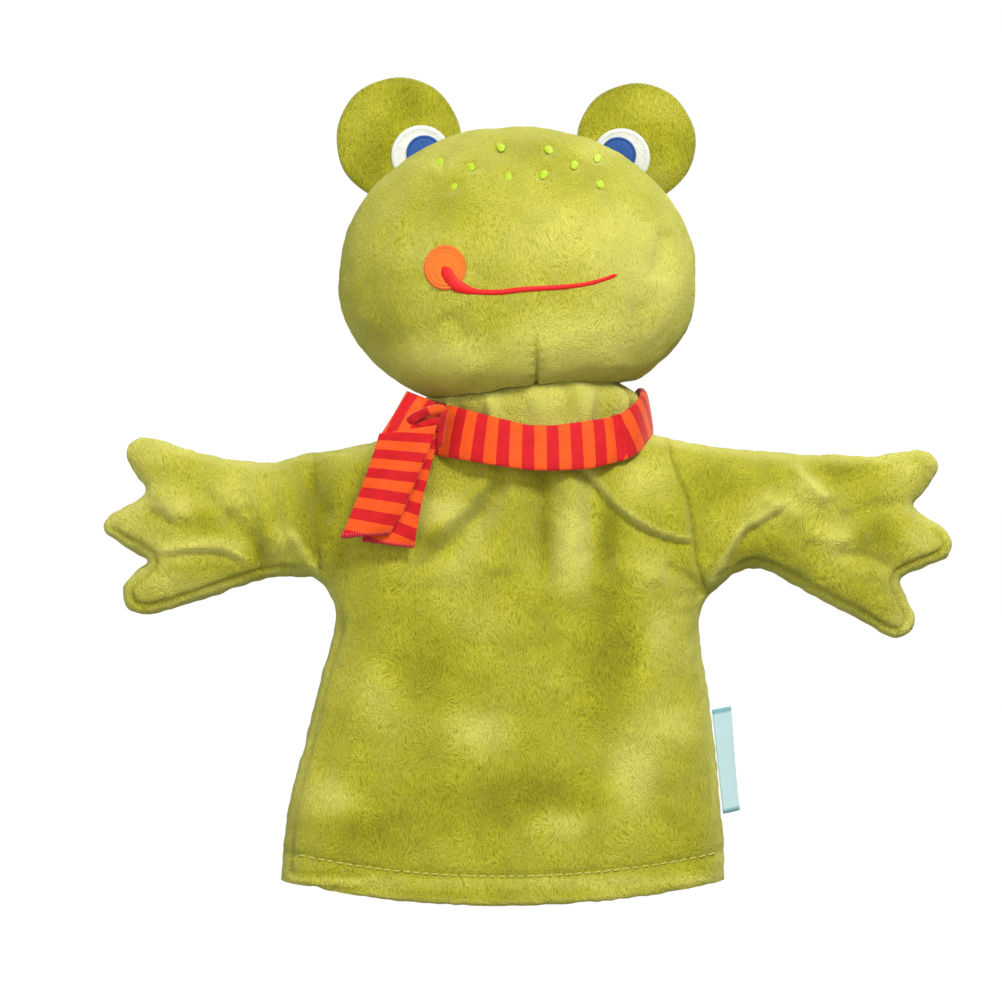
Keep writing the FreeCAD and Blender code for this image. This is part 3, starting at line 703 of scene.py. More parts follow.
def glove_surface(glove):
    """The closed front and back of the glove as one mesh, with the grooves of its seams pulled in."""
    flat, count = glove.flat, len(glove.flat)
    x, z = flat.T
    roll = np.clip(1 - hem_rise(flat) / 2.2, 0, 1)
    roll = 1.7 * (1 - np.sqrt(1 - roll ** 2))
    soft = 1 - np.exp(-glove.depth / 5)
    level = np.stack([x, 0 * x, z], axis=1)
    behind_level = level + (0, 50, 0)
    front_rise = creases(flat, FRONT_FOLDS) + overlaps(flat, OVERLAPS)
    front_rise += 1.1 * lumps(level, 22, 1)
    front_rise += 0.5 * lumps(level, 8, 2)
    back_rise = creases(flat, BACK_FOLDS)
    back_rise += 1.0 * lumps(behind_level, 24, 3)
    back_rise += 0.35 * lumps(behind_level, 8, 4)
    front_depth = np.maximum(glove.depth + soft * front_rise - roll, 0.0)
    back_depth = np.maximum(glove.depth + soft * back_rise - roll, 0.0)
    points = np.vstack([np.stack([x, -front_depth, z], axis=1), np.stack([x, back_depth, z], axis=1)])

    sewn = glove.side < 1e-3
    behind = np.arange(count) + count
    behind[sewn] = np.flatnonzero(sewn)
    triangles = np.vstack([glove.triangles, behind[glove.triangles][:, ::-1]])
    normals = vertex_normals(points, triangles)

    inset = seam_inset(flat)
    armholes = np.minimum(*[np.abs(nearest_on(flat, line)[0]) for line in glove.cuts.values()])
    hem_line = np.abs(hem_rise(flat) - HEM_STITCH_RISE)
    armhole_pull = 0.9 * bell(armholes, 0.7) * (z > ARMPIT) * smoothstep(0.5, 5, glove.side)
    stitch_pull = 0.8 * bell(hem_line, 1.1)
    seam_pull = (0.3 + 0.7 * smoothstep(1.7, 2.6, inset)) * bell(glove.side - inset, 0.7)
    pull = np.concatenate([seam_pull + armhole_pull + stitch_pull, armhole_pull + stitch_pull])
    pull[:count][glove.side < 0.2] *= 0.3
    pull -= 0.28 * lumps(points, 3.0, 6)
    points = points - normals * pull[:, None]
    normals = vertex_normals(points, triangles)
    nap_and_painted_light = np.concatenate([patch_lightness(flat, NAP_AND_LIGHT_PATCHES), 0.4 * lumps(np.stack([x, z, 0 * z], axis=1), 30, 9)])
    # painted shade: darker along the side seam under the arms, where the seam groove sinks deepest
    nap_and_painted_light -= 0.6 * np.concatenate([bell(glove.side - inset, 0.8) * smoothstep(1.7, 2.6, inset), 0 * z])
    # painted shade: darker along the hem stitching and the armhole seams, in their pulled-in grooves
    nap_and_painted_light -= np.tile(0.4 * bell(hem_line, 1.2) + 0.6 * bell(armholes, 0.8) * (z > ARMPIT), 2)
    # painted highlight: lighter along the edges of the glove, where the pile catches the light as it turns
    # away
    nap_and_painted_light += 0.6 * np.tile(1 - smoothstep(0.0, 4.0, np.minimum(glove.side, hem_rise(flat))), 2)
    # painted highlight: lighter along the raised edge of each overlapping fold
    for line, *_ in OVERLAPS:
        distance, along = nearest_on(flat, curve_through(line, FOLD_STEP))
        nap_and_painted_light[:count] += 0.9 * bell(distance - 0.6, 1.4) * along_fade(along)
    return points, triangles, normals, nap_and_painted_light


def region_of(glove, middles):
    """Which piece each triangle belongs to: the torso, a sleeve or a hand."""
    region = np.full(len(middles), "torso", dtype="<U14")
    for side, sign in SIDES.items():
        out = sign * nearest_on(middles, glove.cuts[side])[0] > 0
        arm = out & (middles[:, 1] > ARMPIT) & (sign * middles[:, 0] > 0)
        region[arm] = side + "_sleeve"
        region[sign * middles[:, 0] > WRIST_X] = side + "_hand"
    return region


glove = Glove()
glove_points, glove_triangles, glove_normals, glove_nap_and_painted_light = glove_surface(glove)
half, half_points = len(glove.triangles), len(glove.flat)
middles = glove.flat[glove.triangles].mean(axis=1)
piece_of = region_of(glove, middles)
on_front = glove.side_distance(middles) > seam_inset(middles)


def declare_sheet(points, triangles, spare=1.0):
    """Works out the cut size of a panel, a rectangle round it and the area that it takes out of that, and
    keeps none of it.
    """
    used = points[np.unique(triangles)]
    width, height = np.sort(np.ptp(used, axis=0) * MM)[-2:] * CUT_SPARE
    area = np.linalg.norm(face_crosses(points, triangles), axis=1).sum() / 2 * MM * MM * spare
    height = max(height, area / width / CUT_SHARE)


def blend_arm(piece, side, kind):
    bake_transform(piece)


def make_glove_piece(region, face):
    chosen = piece_of == region
    front, back = glove_triangles[:half], glove_triangles[half:]
    if face == "front":
        triangles = front[chosen & on_front]
    else:
        triangles = np.vstack([back[chosen], front[chosen & ~on_front]])
    name = (region + "_" + face + "_panel") if region == "torso" else (region + "_" + face)
    piece = cloth_shell(name, glove_points, triangles, PLUSH_THICK, glove_nap_and_painted_light, glove_normals)
    finish_piece(piece, PLUSH, "plush", name)
    declare_sheet(glove_points, triangles)
    if region == "torso":
        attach(piece, "torso")
    else:
        blend_arm(piece, *region.split("_"))


# ---------------------------------------------------------------- the head

HEAD_HALF = (58.0, 38.0)
HEAD_LEVEL, HEAD_ABOVE, HEAD_BELOW, HEAD_POWER = 205.0, 48.3, 39.3, 2.5
CHIN_POWER = 3.6
HEAD_SEAM_Y = 20.0
HEAD_MOUTH_Z = 168.5
DART_X, DART_TOP = 6.3, (181, 187)
SPOTS = [(-25.1, 241.8), (-15, 240.2), (-20.5, 233.6), (-5.3, 246.6), (-2.8, 236.8), (8.7, 237.3),
         (10.3, 245.8), (18.7, 240.7), (26.3, 243.2), (27, 234.3)]
SPOT_RADIUS = 1.6
HEAD_FOLDS = [
    ([(-24, 192), (-20, 187), (-17, 181)], 4.0, -1.6),
    ([(48.2, 221), (47.4, 213), (45.2, 202)], 2.6, -1.7),
    ([(39.5, 197), (38.2, 187), (37, 175)], 2.6, -1.2),
    ([(-46, 205), (-44, 190), (-36, 178)], 5.0, -1.0),
    ([(-8, 196), (6, 193), (20, 196)], 6.0, -0.9),
]
# lighter and darker patches on the face, partly how the pile lies and partly painted light and painted shade:
# x, z, half width, half height, lighter (+) or darker (-)
HEAD_NAP_AND_LIGHT_PATCHES = [(20, 222, 24, 14, 0.4), (36, 205, 16, 16, 0.9), (-6, 212, 20, 10, 0.2),
                (-42, 215, 10, 20, -0.1), (-24, 228, 14, 8, -0.5), (0, 245, 10, 5, -0.4),
                (-12, 188, 16, 8, -0.4), (12, 182, 26, 10, 1.2), (-44, 190, 10, 12, -0.5),
                (50, 200, 6, 16, 0.5), (26, 246, 10, 4, 0.7), (-24, 178, 14, 6, 0.9)]


def head_girth(z, power=HEAD_POWER):
    """How wide the head is at this height, as a share of its full width."""
    above = 1 - np.clip((z - HEAD_LEVEL) / HEAD_ABOVE, 0, 1) ** 2
    below = 1 - np.clip((HEAD_LEVEL - z) / HEAD_BELOW, 0, 0.999) ** power
    return np.where(z > HEAD_LEVEL, np.sqrt(above), below ** (1 / power))


def chin_fullness(z):
    """How much deeper the chin is in front than the rest of the head's lower half."""
    return head_girth(z, CHIN_POWER) / head_girth(z)


def head_front(x, z):
    """The front of the head at x and z, as a depth y."""
    z = np.asarray(z, float)
    depth = np.sqrt(np.maximum(head_girth(z) ** 2 - (np.asarray(x) / HEAD_HALF[0]) ** 2, 0))
    return -HEAD_HALF[1] * depth * chin_fullness(z)


def head_form(directions):
    """Maps unit directions to the head, egg-shaped above its middle and fuller below."""
    px, py, pz = directions.T
    round_part = np.hypot(px, py)
    power = np.where(pz < 0, HEAD_POWER, 2.0)
    reach = (round_part ** power + np.abs(pz) ** power) ** (-1 / power)
    height = np.where(pz > 0, HEAD_ABOVE, HEAD_BELOW)
    form = np.stack([HEAD_HALF[0] * px * reach, HEAD_HALF[1] * py * reach, HEAD_LEVEL + height * pz * reach],
                    axis=1)
    form[:, 1] *= np.where(py < 0, chin_fullness(form[:, 2]), 1.0)
    return form


def sag_at(x):
    """The scarf pulls the lower edge of the head down and up, and the top of the neck with it."""
    return -1.2 + 2.4 * np.cos((x - 15) / 45 * math.pi)


def head_mesh():
    """An icosphere in the head's form, finer round the spots and the dart, split along its seams."""
    ball = bmesh.new()
    bmesh.ops.create_icosphere(ball, subdivisions=6, radius=1.0)
    for edge_limit in (2.0, 1.0):
        ball.verts.ensure_lookup_table()
        where = head_form(np.array([v.co[:] for v in ball.verts]))
        near = np.zeros(len(where), bool)
        for x, z in SPOTS:
            near |= (np.hypot(where[:, 0] - x, where[:, 2] - z) < 3.4 * edge_limit ** 0.3) & (where[:, 1] < 0)
        near |= (np.abs(where[:, 0] - DART_X) < 2.4) & (where[:, 2] < DART_TOP[1]) & (where[:, 1] < 0)
        edges = [e for e in ball.edges if near[e.verts[0].index] and near[e.verts[1].index]]
        bmesh.ops.subdivide_edges(ball, edges=edges, cuts=1)
        bmesh.ops.triangulate(ball, faces=ball.faces)
        for vert in ball.verts:
            vert.co.normalize()
    where = head_form(np.array([v.co[:] for v in ball.verts]))
    for vert, place in zip(ball.verts, where):
        vert.co = place
    for offset in (-2.2, -1.4, -0.7, 0.0, 0.7, 1.4, 2.2):
        bmesh.ops.bisect_plane(ball, geom=ball.verts[:] + ball.edges[:] + ball.faces[:], dist=1e-4,
                               plane_co=(0, HEAD_SEAM_Y + offset, 0), plane_no=(0, 1, 0))
    bmesh.ops.bisect_plane(ball, geom=ball.verts[:] + ball.edges[:] + ball.faces[:], dist=1e-4,
                           plane_co=(0, 0, HEAD_MOUTH_Z), plane_no=(0, 0, 1), clear_inner=True)
    bmesh.ops.triangulate(ball, faces=ball.faces)
    ball.verts.index_update()
    points = np.array([v.co[:] for v in ball.verts])
    triangles = np.array([[v.index for v in f.verts] for f in ball.faces])
    ball.free()
    return points, triangles


def head_surface_pull(points):
    flat = points[:, [0, 2]]
    facing = points[:, 1] < 0
    pull = 1.1 * bell(points[:, 1] - HEAD_SEAM_Y, 0.9)
    for x, z in SPOTS:
        pull += 1.5 * bell(np.hypot(points[:, 0] - x, points[:, 2] - z), 2.3) * facing
    pull += 1.3 * bell(points[:, 0] - DART_X, 0.8) * facing * (1 - smoothstep(*DART_TOP, points[:, 2]))
    pull -= creases(flat, HEAD_FOLDS) * facing
    pull -= 0.8 * lumps(points, 26, 5) + 0.35 * lumps(points, 9, 6) + 0.15 * lumps(points, 3.0, 7)
    return pull


head_points, head_triangles = head_mesh()
head_normals = vertex_normals(head_points, head_triangles)
head_points = head_points - head_normals * head_surface_pull(head_points)[:, None]
head_points[:, 2] += sag_at(head_points[:, 0]) * (1 - smoothstep(HEAD_MOUTH_Z, 186, head_points[:, 2]))
head_normals = vertex_normals(head_points, head_triangles)
head_nap_and_painted_light = np.where(head_points[:, 1] < 0, patch_lightness(head_points[:, [0, 2]], HEAD_NAP_AND_LIGHT_PATCHES), 0)
# painted shade: darker along the sewn seam round the head, in its pulled-in groove; the rest is random tone
head_nap_and_painted_light += 0.15 + 0.3 * lumps(head_points, 30, 11) - 0.5 * bell(head_points[:, 1] - HEAD_SEAM_Y, 1.2)
# painted shade: darker along the chin dart, in its pulled-in crease
head_nap_and_painted_light -= 0.9 * bell(head_points[:, 0] - DART_X, 0.9) * (1 - smoothstep(*DART_TOP, head_points[:, 2]))


def make_head():
    behind = head_points[head_triangles].mean(axis=1)[:, 1] > HEAD_SEAM_Y
    for name, chosen in (("face_panel", ~behind), ("head_back_panel", behind)):
        triangles = head_triangles[chosen]
        piece = cloth_shell(name, head_points, triangles, PLUSH_THICK, head_nap_and_painted_light, head_normals)
        finish_piece(piece, PLUSH, "plush", name)
        declare_sheet(head_points, triangles)
        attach(piece, "head")


STUFFING_TOP, STUFFING_FOOT = 244.0, 184
HOLLOW_RADIUS, HOLLOW_LEVEL, HOLLOW_TOP = 12.4, 217, 227   # the hole in the filling for the finger pocket


def make_stuffing():
    """The filling keeps clear of the finger pocket, which opens downwards through it."""
    around = 72
    angle = circle(around)
    rows = []
    for z in np.linspace(STUFFING_TOP, STUFFING_FOOT, 26):
        girth = float(head_girth(np.array(z + 2.0))) * 0.86
        rows.append(np.stack([(HEAD_HALF[0] - 3) * girth * np.cos(angle),
                              (HEAD_HALF[1] - 3) * girth * np.sin(angle), np.full(around, z)], axis=1))
    for z in np.linspace(STUFFING_FOOT, HOLLOW_TOP, 16):
        radius = HOLLOW_RADIUS * math.sqrt(max(1 - max(0, (z - HOLLOW_LEVEL) / 12) ** 2, 0.02))
        rows.append(np.stack([radius * np.cos(angle), radius * np.sin(angle), np.full(around, z)], axis=1))
    points = np.vstack(rows)
    points = points + 0.8 * np.stack([lumps(points, 7, s) for s in (21, 22, 23)], axis=1)
    piece = new_piece("head_stuffing", points, [f[::-1] for f in tube_faces(len(rows), around)])
    finish_piece(piece, FILLING, "filling", "head_stuffing")
    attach(piece, "head")


def make_pocket():
    """The sewn pocket that takes a finger, seen from below inside the neck."""
    around, rows = 48, []
    angle = circle(around)
    profile = [(10.6, 181), (11.3, 180.4), (11.7, 181.4), (11.7, 190), (11.7, 205), (11.6, 217),
               (10.4, 222.5), (7.5, 225.9), (3.5, 227.4), (0.3, 227.6), (0.3, 226.8), (3.3, 226.6),
               (7.0, 225.1), (9.6, 222), (10.6, 216.5), (10.6, 205), (10.6, 190)]
    for radius, z in curve_through(profile + profile[:1], 1.2)[:-1]:
        wobble = 1 + 0.015 * np.sin(3 * angle + z / 9)
        rows.append(np.stack([radius * np.cos(angle) * wobble, radius * np.sin(angle) * wobble,
                              np.full(around, z)], axis=1))
    piece = new_piece("finger_pocket", np.vstack(rows), [f[::-1] for f in ring_faces(len(rows), around)])
    finish_piece(piece, POCKET, "pocket_lining", "finger_pocket")
    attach(piece, "head")


# ---------------------------------------------------------------- felt and embroidery on the face

CHEEK = (-23.3, 206.8, 6.8, 7.3)
MOUTH_LINE = [(-23.9, 207.1), (-21.9, 203.5), (-19.6, 201.1), (-15.4, 199.4), (-11.1, 198.8),
              (-5.6, 198.8), (2.3, 199.7), (10.5, 200.2), (18.6, 200.9), (24.2, 201.9), (29.4, 203.5),
              (32.4, 204.7)]


def face_height(x, z):
    """The depth y of the sewn face at x and z, from the nearest points of the finished mesh."""
    front = head_points[:, 1] < 0
    flat, depth = head_points[front][:, [0, 2]], head_points[front][:, 1]
    wanted = np.stack([np.ravel(x), np.ravel(z)], axis=1)
    found = []
    for place in wanted:
        gap = ((flat - place) ** 2).sum(axis=1)
        near = np.argpartition(gap, 5)[:5]
        shift = head_front(*place) - head_front(flat[near, 0], flat[near, 1])
        weight = 1 / (gap[near] + 0.05)
        found.append(((depth[near] + shift) * weight).sum() / weight.sum())
    return np.array(found)


def disc_patch(name, middle, radii, height_at, border, rises, rings):
    """A felt disc with a stitched border, laid on the surface that height_at gives."""
    around = 96
    flat, thread, lift = [], [], []
    angle = circle(around)
    stitches = np.where(np.arange(around) % 2 == 0, 1.0, 0.86)
    for share in rings:
        flat.append(np.stack([middle[0] + radii[0] * share * np.cos(angle),
                              middle[1] + radii[1] * share * np.sin(angle)], axis=1))
        in_border = share * radii[0] > radii[0] - border
        thread.append(np.full(around, 1.0 if in_border and share < 1 else 0.0))
        lift.append(np.interp(share, *rises) * (stitches if in_border else 1.0) * np.ones(around))
    flat, lift, thread = np.vstack(flat), np.concatenate(lift), np.concatenate(thread)
    y = height_at(flat[:, 0], flat[:, 1])
    points = np.stack([flat[:, 0], y - lift, flat[:, 1]], axis=1)
    under = np.stack([flat[:, 0], y + 0.4, flat[:, 1]], axis=1)
    return new_piece(name, np.vstack([points, under]), disc_faces(len(rings), around),
                     {"thread": np.tile(thread, 2)})


def felt_rings(radius, border):
    inner = (radius - border) / radius
    return [0.02, 0.2, 0.4, 0.6, 0.8 * inner, 0.95 * inner, 0.99 * inner, inner + 0.02,
            (inner + 1) / 2, 0.985, 1.0]


def make_cheek():
    x, z, half_width, half_height = CHEEK
    rings = [0.02, 0.25, 0.5, 0.62, 0.68, 0.74, 0.80, 0.84, 0.88, 0.92, 0.95, 0.985, 1.0]
    rises = ([0, 0.62, 0.68, 0.74, 0.80, 0.84, 0.88, 0.95, 1.0],
             [0.75, 0.75, 0.45, 1.0, 0.9, 0.4, 0.95, 0.9, 0.3])
    piece = disc_patch("cheek_patch", (x, z), (half_width, half_height), face_height, 0.5, rises, rings)
    finish_piece(piece, ORANGE_FELT, "orange_felt", "cheek_patch")
    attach(piece, "head")


def make_mouth():
    """Satin stitch: a padded ridge whose threads lie across it, thick on the tongue and thin on the lip."""
    spacing = 0.28
    line = curve_through(MOUTH_LINE, spacing)
    along = np.linspace(0, 1, len(line))
    tongue = 1 - smoothstep(0.12, 0.26, along)
    width = 0.90 - 0.25 * smoothstep(0.5, 1.0, along) + 1.15 * tongue
    width *= np.sqrt(np.clip(along / 0.03, 0.02, 1)) * np.sqrt(np.clip((1 - along) / 0.02, 0.02, 1))
    run = unit(np.gradient(line, axis=0))
    across = np.stack([-run[:, 1], run[:, 0]], axis=1)
    jitter = np.array([noise.noise(Vector((i * 3.1, 0, 0))) for i in range(len(line))]) * 0.12
    base = face_height(line[:, 0], line[:, 1]) - 0.55 * (1 - smoothstep(0.10, 0.2, along))
    columns = 9
    points, thread_tone_and_shade = [], []
    thread = np.array([0.8 + 0.6 * noise.noise(Vector((i * 0.9, 7.0, 0))) for i in range(len(line))])
    for column in range(columns):
        turn = math.pi * column / (columns - 1)
        side = -math.cos(turn) * (width + jitter)
        rise = math.sin(turn) * (0.55 + 0.25 * width) + 0.05 * (thread - 0.5)
        slope = (head_front(line[:, 0] + across[:, 0] * side, line[:, 1] + across[:, 1] * side)
                 - head_front(line[:, 0], line[:, 1]))
        points.append(np.stack([line[:, 0] + across[:, 0] * side, base + slope - rise + 0.15,
                                line[:, 1] + across[:, 1] * side], axis=1))
        thread_tone_and_shade.append(thread)
    points = np.stack(points, axis=1).reshape(-1, 3)
    thread_tone_and_shade = np.stack(thread_tone_and_shade, axis=1).ravel()
    faces = grid_faces(len(line), columns)
    faces += [[r * columns + columns - 1, r * columns, (r + 1) * columns, (r + 1) * columns + columns - 1]
              for r in range(len(line) - 1)]
    faces += [list(range(columns)), [len(line) * columns - 1 - i for i in range(columns)]]
    piece = new_piece("mouth_embroidery", points, faces, {"thread_tone_and_shade": thread_tone_and_shade})
    finish_piece(piece, RED_THREAD, "red_thread", "mouth_embroidery")
    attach(piece, "head")


def make_spots():
    """Each spot is a small knot of bright thread, pulled into a dimple."""
    points, faces, thread_tone_and_shade = [], [], []
    around, rings = 18, 7
    for number, (x, z) in enumerate(SPOTS):
        lean = 0.6 * math.sin(number * 2.3)
        base = float(head_front(x, z)) + 2.2
        start = len(points)
        for ring in range(rings):
            turn = math.pi / 2 * ring / (rings - 1)
            for step in range(around):
                angle = 2 * math.pi * step / around
                radius = SPOT_RADIUS * math.cos(turn) + 0.02
                u, w = radius * 0.85 * math.cos(angle), radius * 1.12 * math.sin(angle)
                strand = 0.12 * math.cos(math.pi * 2 * u / 0.7)
                place_x = x + u * math.cos(lean) - w * math.sin(lean)
                place_z = z + u * math.sin(lean) + w * math.cos(lean)
                shift = float(head_front(place_x, place_z) - head_front(x, z))
                points.append((place_x, base + shift - math.sin(turn) * 0.9 - strand, place_z))
                # painted shade: the dips between the strands are drawn darker and the ridges lighter
                thread_tone_and_shade.append(0.5 + 4 * strand)
        faces += [[start + i for i in face] for face in grid_faces(rings, around, closed=True)]
        faces.append([start + (rings - 1) * around + i for i in range(around)])
        faces.append([start + i for i in reversed(range(around))])
    piece = new_piece("forehead_spots", points, [f[::-1] for f in faces], {"thread_tone_and_shade": thread_tone_and_shade})
    finish_piece(piece, LIME_THREAD, "lime_thread", "forehead_spots")
    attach(piece, "head")


# ---------------------------------------------------------------- ears and eyes

EAR_CLOTH, EAR_BULGE = 0.9, 3.2
EAR_PAD_OUT, EAR_PAD_INSET, EAR_PAD_HALF = 2.5, 5.0, 1.5
EARS = {"right": {"middle": (-38.9, 250.3), "radius": 20.5, "eye": (-31.4, 245.1), "eye_radius": 9.8,
                  "iris": (-30.4, 245.7), "fold": (-31.849, 238.779), "outward": (-0.5531, 0.8331)},
        "left": {"middle": (39.2, 249.3), "radius": 19.6, "eye": (34.3, 244.4), "eye_radius": 9.5,
                 "iris": (33.3, 245.1), "fold": (32.387, 238.417), "outward": (0.5637, 0.8260)}}
IRIS_RADIUS, IRIS_THICK = 5.9, 1.2
EYE_BORDER = 1.3


def ear_bulge(ear, x, z):
    """Half the ear's thickness at x and z."""
    share = np.hypot(x - ear["middle"][0], z - ear["middle"][1]) / ear["radius"]
    return EAR_BULGE * np.clip(1 - share ** 2, 0, 1) ** 0.42


def blend_ear(piece):
    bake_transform(piece)


def make_ear_cloth(side, face):
    """A plush disc sewn to its twin round the rim; the foot of it is caught in the head's seam."""
    ear, facing = EARS[side], (-1 if face == "front" else 1)
    around, shares = 120, np.concatenate([np.linspace(0.02, 0.86, 22), [0.9, 0.94, 0.965, 0.985, 1.0]])
    angle = circle(around)
    wave = 1 + 0.006 * np.sin(5 * angle + 2) + 0.004 * np.sin(9 * angle)
    rows = []
    for share in shares:
        x = ear["middle"][0] + ear["radius"] * share * np.cos(angle) * wave
        z = ear["middle"][1] + ear["radius"] * share * np.sin(angle) * wave
        rows.append(np.stack([x, HEAD_SEAM_Y + facing * (ear_bulge(ear, x, z) + 0.08), z], axis=1))
    points = np.vstack(rows)
    points[:, 1] += facing * 0.35 * lumps(points, 7, 31) * (1 - np.repeat(shares, around) ** 4)
    triangles = split_quads(grid_faces(len(shares), around, closed=True))
    hub = np.array([[0, i, i + 1] for i in range(1, around - 1)])
    triangles = np.vstack([triangles[:, ::-1], hub])
    if facing > 0:
        triangles = triangles[:, ::-1]
    # painted shade: darker along the sewn rim, where the two discs pinch together; the rest is random tone
    nap_and_painted_light = 0.45 * lumps(points, 14, 33) - 0.15 - 0.4 * bell(np.repeat(shares, around) - 1, 0.07)
    name = f"{side}_ear_{face}"
    piece = cloth_shell(name, points, triangles, EAR_CLOTH, nap_and_painted_light)
    finish_piece(piece, PLUSH, "plush", name)
    declare_sheet(points, triangles)
    blend_ear(piece)


def make_ear_wadding(side):
    """A thin pad of filling between the two plush discs."""
    ball = bmesh.new()
    bmesh.ops.create_icosphere(ball, subdivisions=5, radius=1.0)
    points = np.array([v.co[:] for v in ball.verts])
    triangles = np.array([[v.index for v in f.verts] for f in ball.faces])
    ball.free()
    ear = EARS[side]
    middle = (ear["middle"][0] + EAR_PAD_OUT * ear["outward"][0], HEAD_SEAM_Y,
              ear["middle"][1] + EAR_PAD_OUT * ear["outward"][1])
    size = ear["radius"] - EAR_PAD_INSET
    points = points * (size, EAR_PAD_HALF, size) + middle
    points = points + unit(points - middle) * (0.15 * lumps(points, 6, 41))[:, None]
    piece = new_piece(side + "_ear_wadding", points, triangles)
    finish_piece(piece, FILLING, "filling", side + "_ear_wadding")
    blend_ear(piece)


def make_eye(side):
    ear = EARS[side]

    def on_ear(x, z):
        return HEAD_SEAM_Y - ear_bulge(ear, x, z)

    radius = ear["eye_radius"]
    rises = ([0, 0.80, 0.84, 0.87, 0.97, 1.0], [0.75, 0.75, 0.6, 1.05, 1.0, 0.5])
    white = disc_patch(side + "_eye_white", ear["eye"], (radius, radius), on_ear, EYE_BORDER, rises,
                       felt_rings(radius, EYE_BORDER))
    finish_piece(white, WHITE_FELT, "white_felt", side + "_eye_white")
    blend_ear(white)
    make_iris(side, on_ear)


def make_iris(side, on_ear):
    """Rows of blue thread lie over the felt, with a raised satin rim round them."""
    ear = EARS[side]
    around, shares = 120, [0.02, 0.15, 0.3, 0.45, 0.6, 0.7, 0.78, 0.82, 0.87, 0.92, 0.97, 1.0]
    angle = circle(around)
    lifts = np.interp(shares, [0, 0.78, 0.82, 0.9, 0.97, 1.0], [1.35, 1.35, 1.25, 1.75, 1.6, 0.9])
    rows, thread_tone_and_shade = [], []
    for share, lift in zip(shares, lifts):
        x = ear["iris"][0] + IRIS_RADIUS * share * np.cos(angle)
        z = ear["iris"][1] + IRIS_RADIUS * share * np.sin(angle)
        rim = share > 0.82
        stitch = np.where(np.arange(around) % 3 == 0, 0.0, 1.0) if rim else 0.5 + 0.5 * np.sin(9.0 * z)
        rows.append(np.stack([x, on_ear(x, z) - lift - 0.1 * stitch, z], axis=1))
        # painted shade: the lower rows and the gaps in the rim are drawn darker
        thread_tone_and_shade.append(0.45 + 0.5 * stitch)
    front = np.vstack(rows)
    piece = new_piece(side + "_eye_blue", np.vstack([front, front + (0, IRIS_THICK, 0)]),
                      disc_faces(len(shares), around), {"thread_tone_and_shade": np.tile(np.concatenate(thread_tone_and_shade), 2)})
    finish_piece(piece, BLUE_THREAD, "blue_embroidery", side + "_eye_blue")
    blend_ear(piece)


# ---------------------------------------------------------------- the gathered neck

NECK_ROWS = [(139, 22, 15), (145, 25, 18), (150, 29, 20.5), (154, 31.5, 22.5), (158, 33.5, 23.5),
             (162, 34.5, 25), (165, 35.2, 25.2), (168, 34.2, 23.8), (171, 30.5, 20.5), (174, 27, 18)]
NECK_MIDDLE_X = 4.0
NAPE_SHARE = 0.8   # the neck is shallower behind than in front
NECK_CUT_ROW = 29  # the gathers are cut into two pieces at this row
NECK_TWIST = (0.147, 0.1615)
NECK_BEND = (0.1662, 0.1735)


def make_neck():
    """The plush between the body and the head, drawn up in gathers under the chin."""
    around, rise = 150, 0.9
    heights = np.arange(NECK_ROWS[0][0], NECK_ROWS[-1][0] + 0.1, rise)
    levels, widths, depths = zip(*NECK_ROWS)
    angle = circle(around)
    wander = np.array([noise.noise(Vector((3 * math.cos(a), 3 * math.sin(a), 0))) for a in angle])
    rows = []
    for z in heights:
        strength = 1.3 * bell(z - 161, 7.0) + 0.25
        fold = np.cos(13 * angle + 3.0 * wander + 0.05 * (z - 160)) * strength
        fold += 0.5 * np.cos(29 * angle + 5.0 * wander) * bell(z - 163, 5.0)
        wide = np.interp(z, levels, widths) + fold
        deep = np.interp(z, levels, depths) * np.where(np.sin(angle) > 0, NAPE_SHARE, 1.0) + fold
        middle = NECK_MIDDLE_X * smoothstep(142, 154, z) * (1 - smoothstep(168, 173, z))
        rows.append(np.stack([middle + wide * np.cos(angle), deep * np.sin(angle), np.full(around, z)],
                             axis=1))
    points = np.vstack(rows)
    points[:, 2] += sag_at(points[:, 0]) * smoothstep(160, 168, points[:, 2])
    triangles = split_quads(grid_faces(len(heights), around, closed=True))
    fold_shade = np.tile(np.cos(13 * angle + 3.0 * wander), len(heights))
    # painted light and painted shade: the whole neck is lifted lighter against the shade under the chin, and
    # each gather is drawn lighter on its ridge and darker in its valley
    nap_and_painted_light = 1.1 + 0.35 * fold_shade + 0.3 * lumps(points, 12, 51)
    normals = vertex_normals(points, triangles)
    below = triangles.max(axis=1) < (NECK_CUT_ROW + 1) * around
    halves = (("neck_gather_foot", below, ("torso", "neck"), NECK_TWIST),
              ("neck_gather", ~below, ("neck", "head"), NECK_BEND))
    for name, chosen, bodies, (low, high) in halves:
        piece = cloth_shell(name, points, triangles[chosen], PLUSH_THICK, nap_and_painted_light, normals)
        finish_piece(piece, PLUSH, "plush")
        declare_sheet(points, triangles[chosen], 1.1)
        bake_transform(piece)
        if name == "neck_gather":
            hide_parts(name)


# ---------------------------------------------------------------- the scarf

SCARF_MIDDLE_X = 4.8
BAND_HALF = (37.6, 27.4)   # half width and half depth of the loop, to the middle of the strip
BAND_FRONT = [   # x, then the bottom and top edges in front, from the knot to the lapped end
    (-36.0, 153.0, 166.0), (-30.0, 147.5, 164.6), (-24.8, 146.0, 163.2), (-8.8, 143.2, 159.0),
    (3.6, 141.3, 156.0), (11.8, 141.1, 155.9), (22.9, 141.7, 157.4), (31.5, 143.9, 158.8),
    (34.5, 145.2, 161.0), (39.3, 148.6, 164.6), (44.0, 152.6, 168.0)
]
BAND_BACK = (151.5, 164.0)
CREASE_X = 32.6
BAND_STRIPE_SHIFT, KNOT_STRIPE_SHIFT = 3.6, 1.2


def striped_piece(name, points, faces, run, across):
    piece = new_piece(name, points, faces, {"run": run, "across": across})
    return finish_piece(piece, SCARF, "scarf_jersey", name)


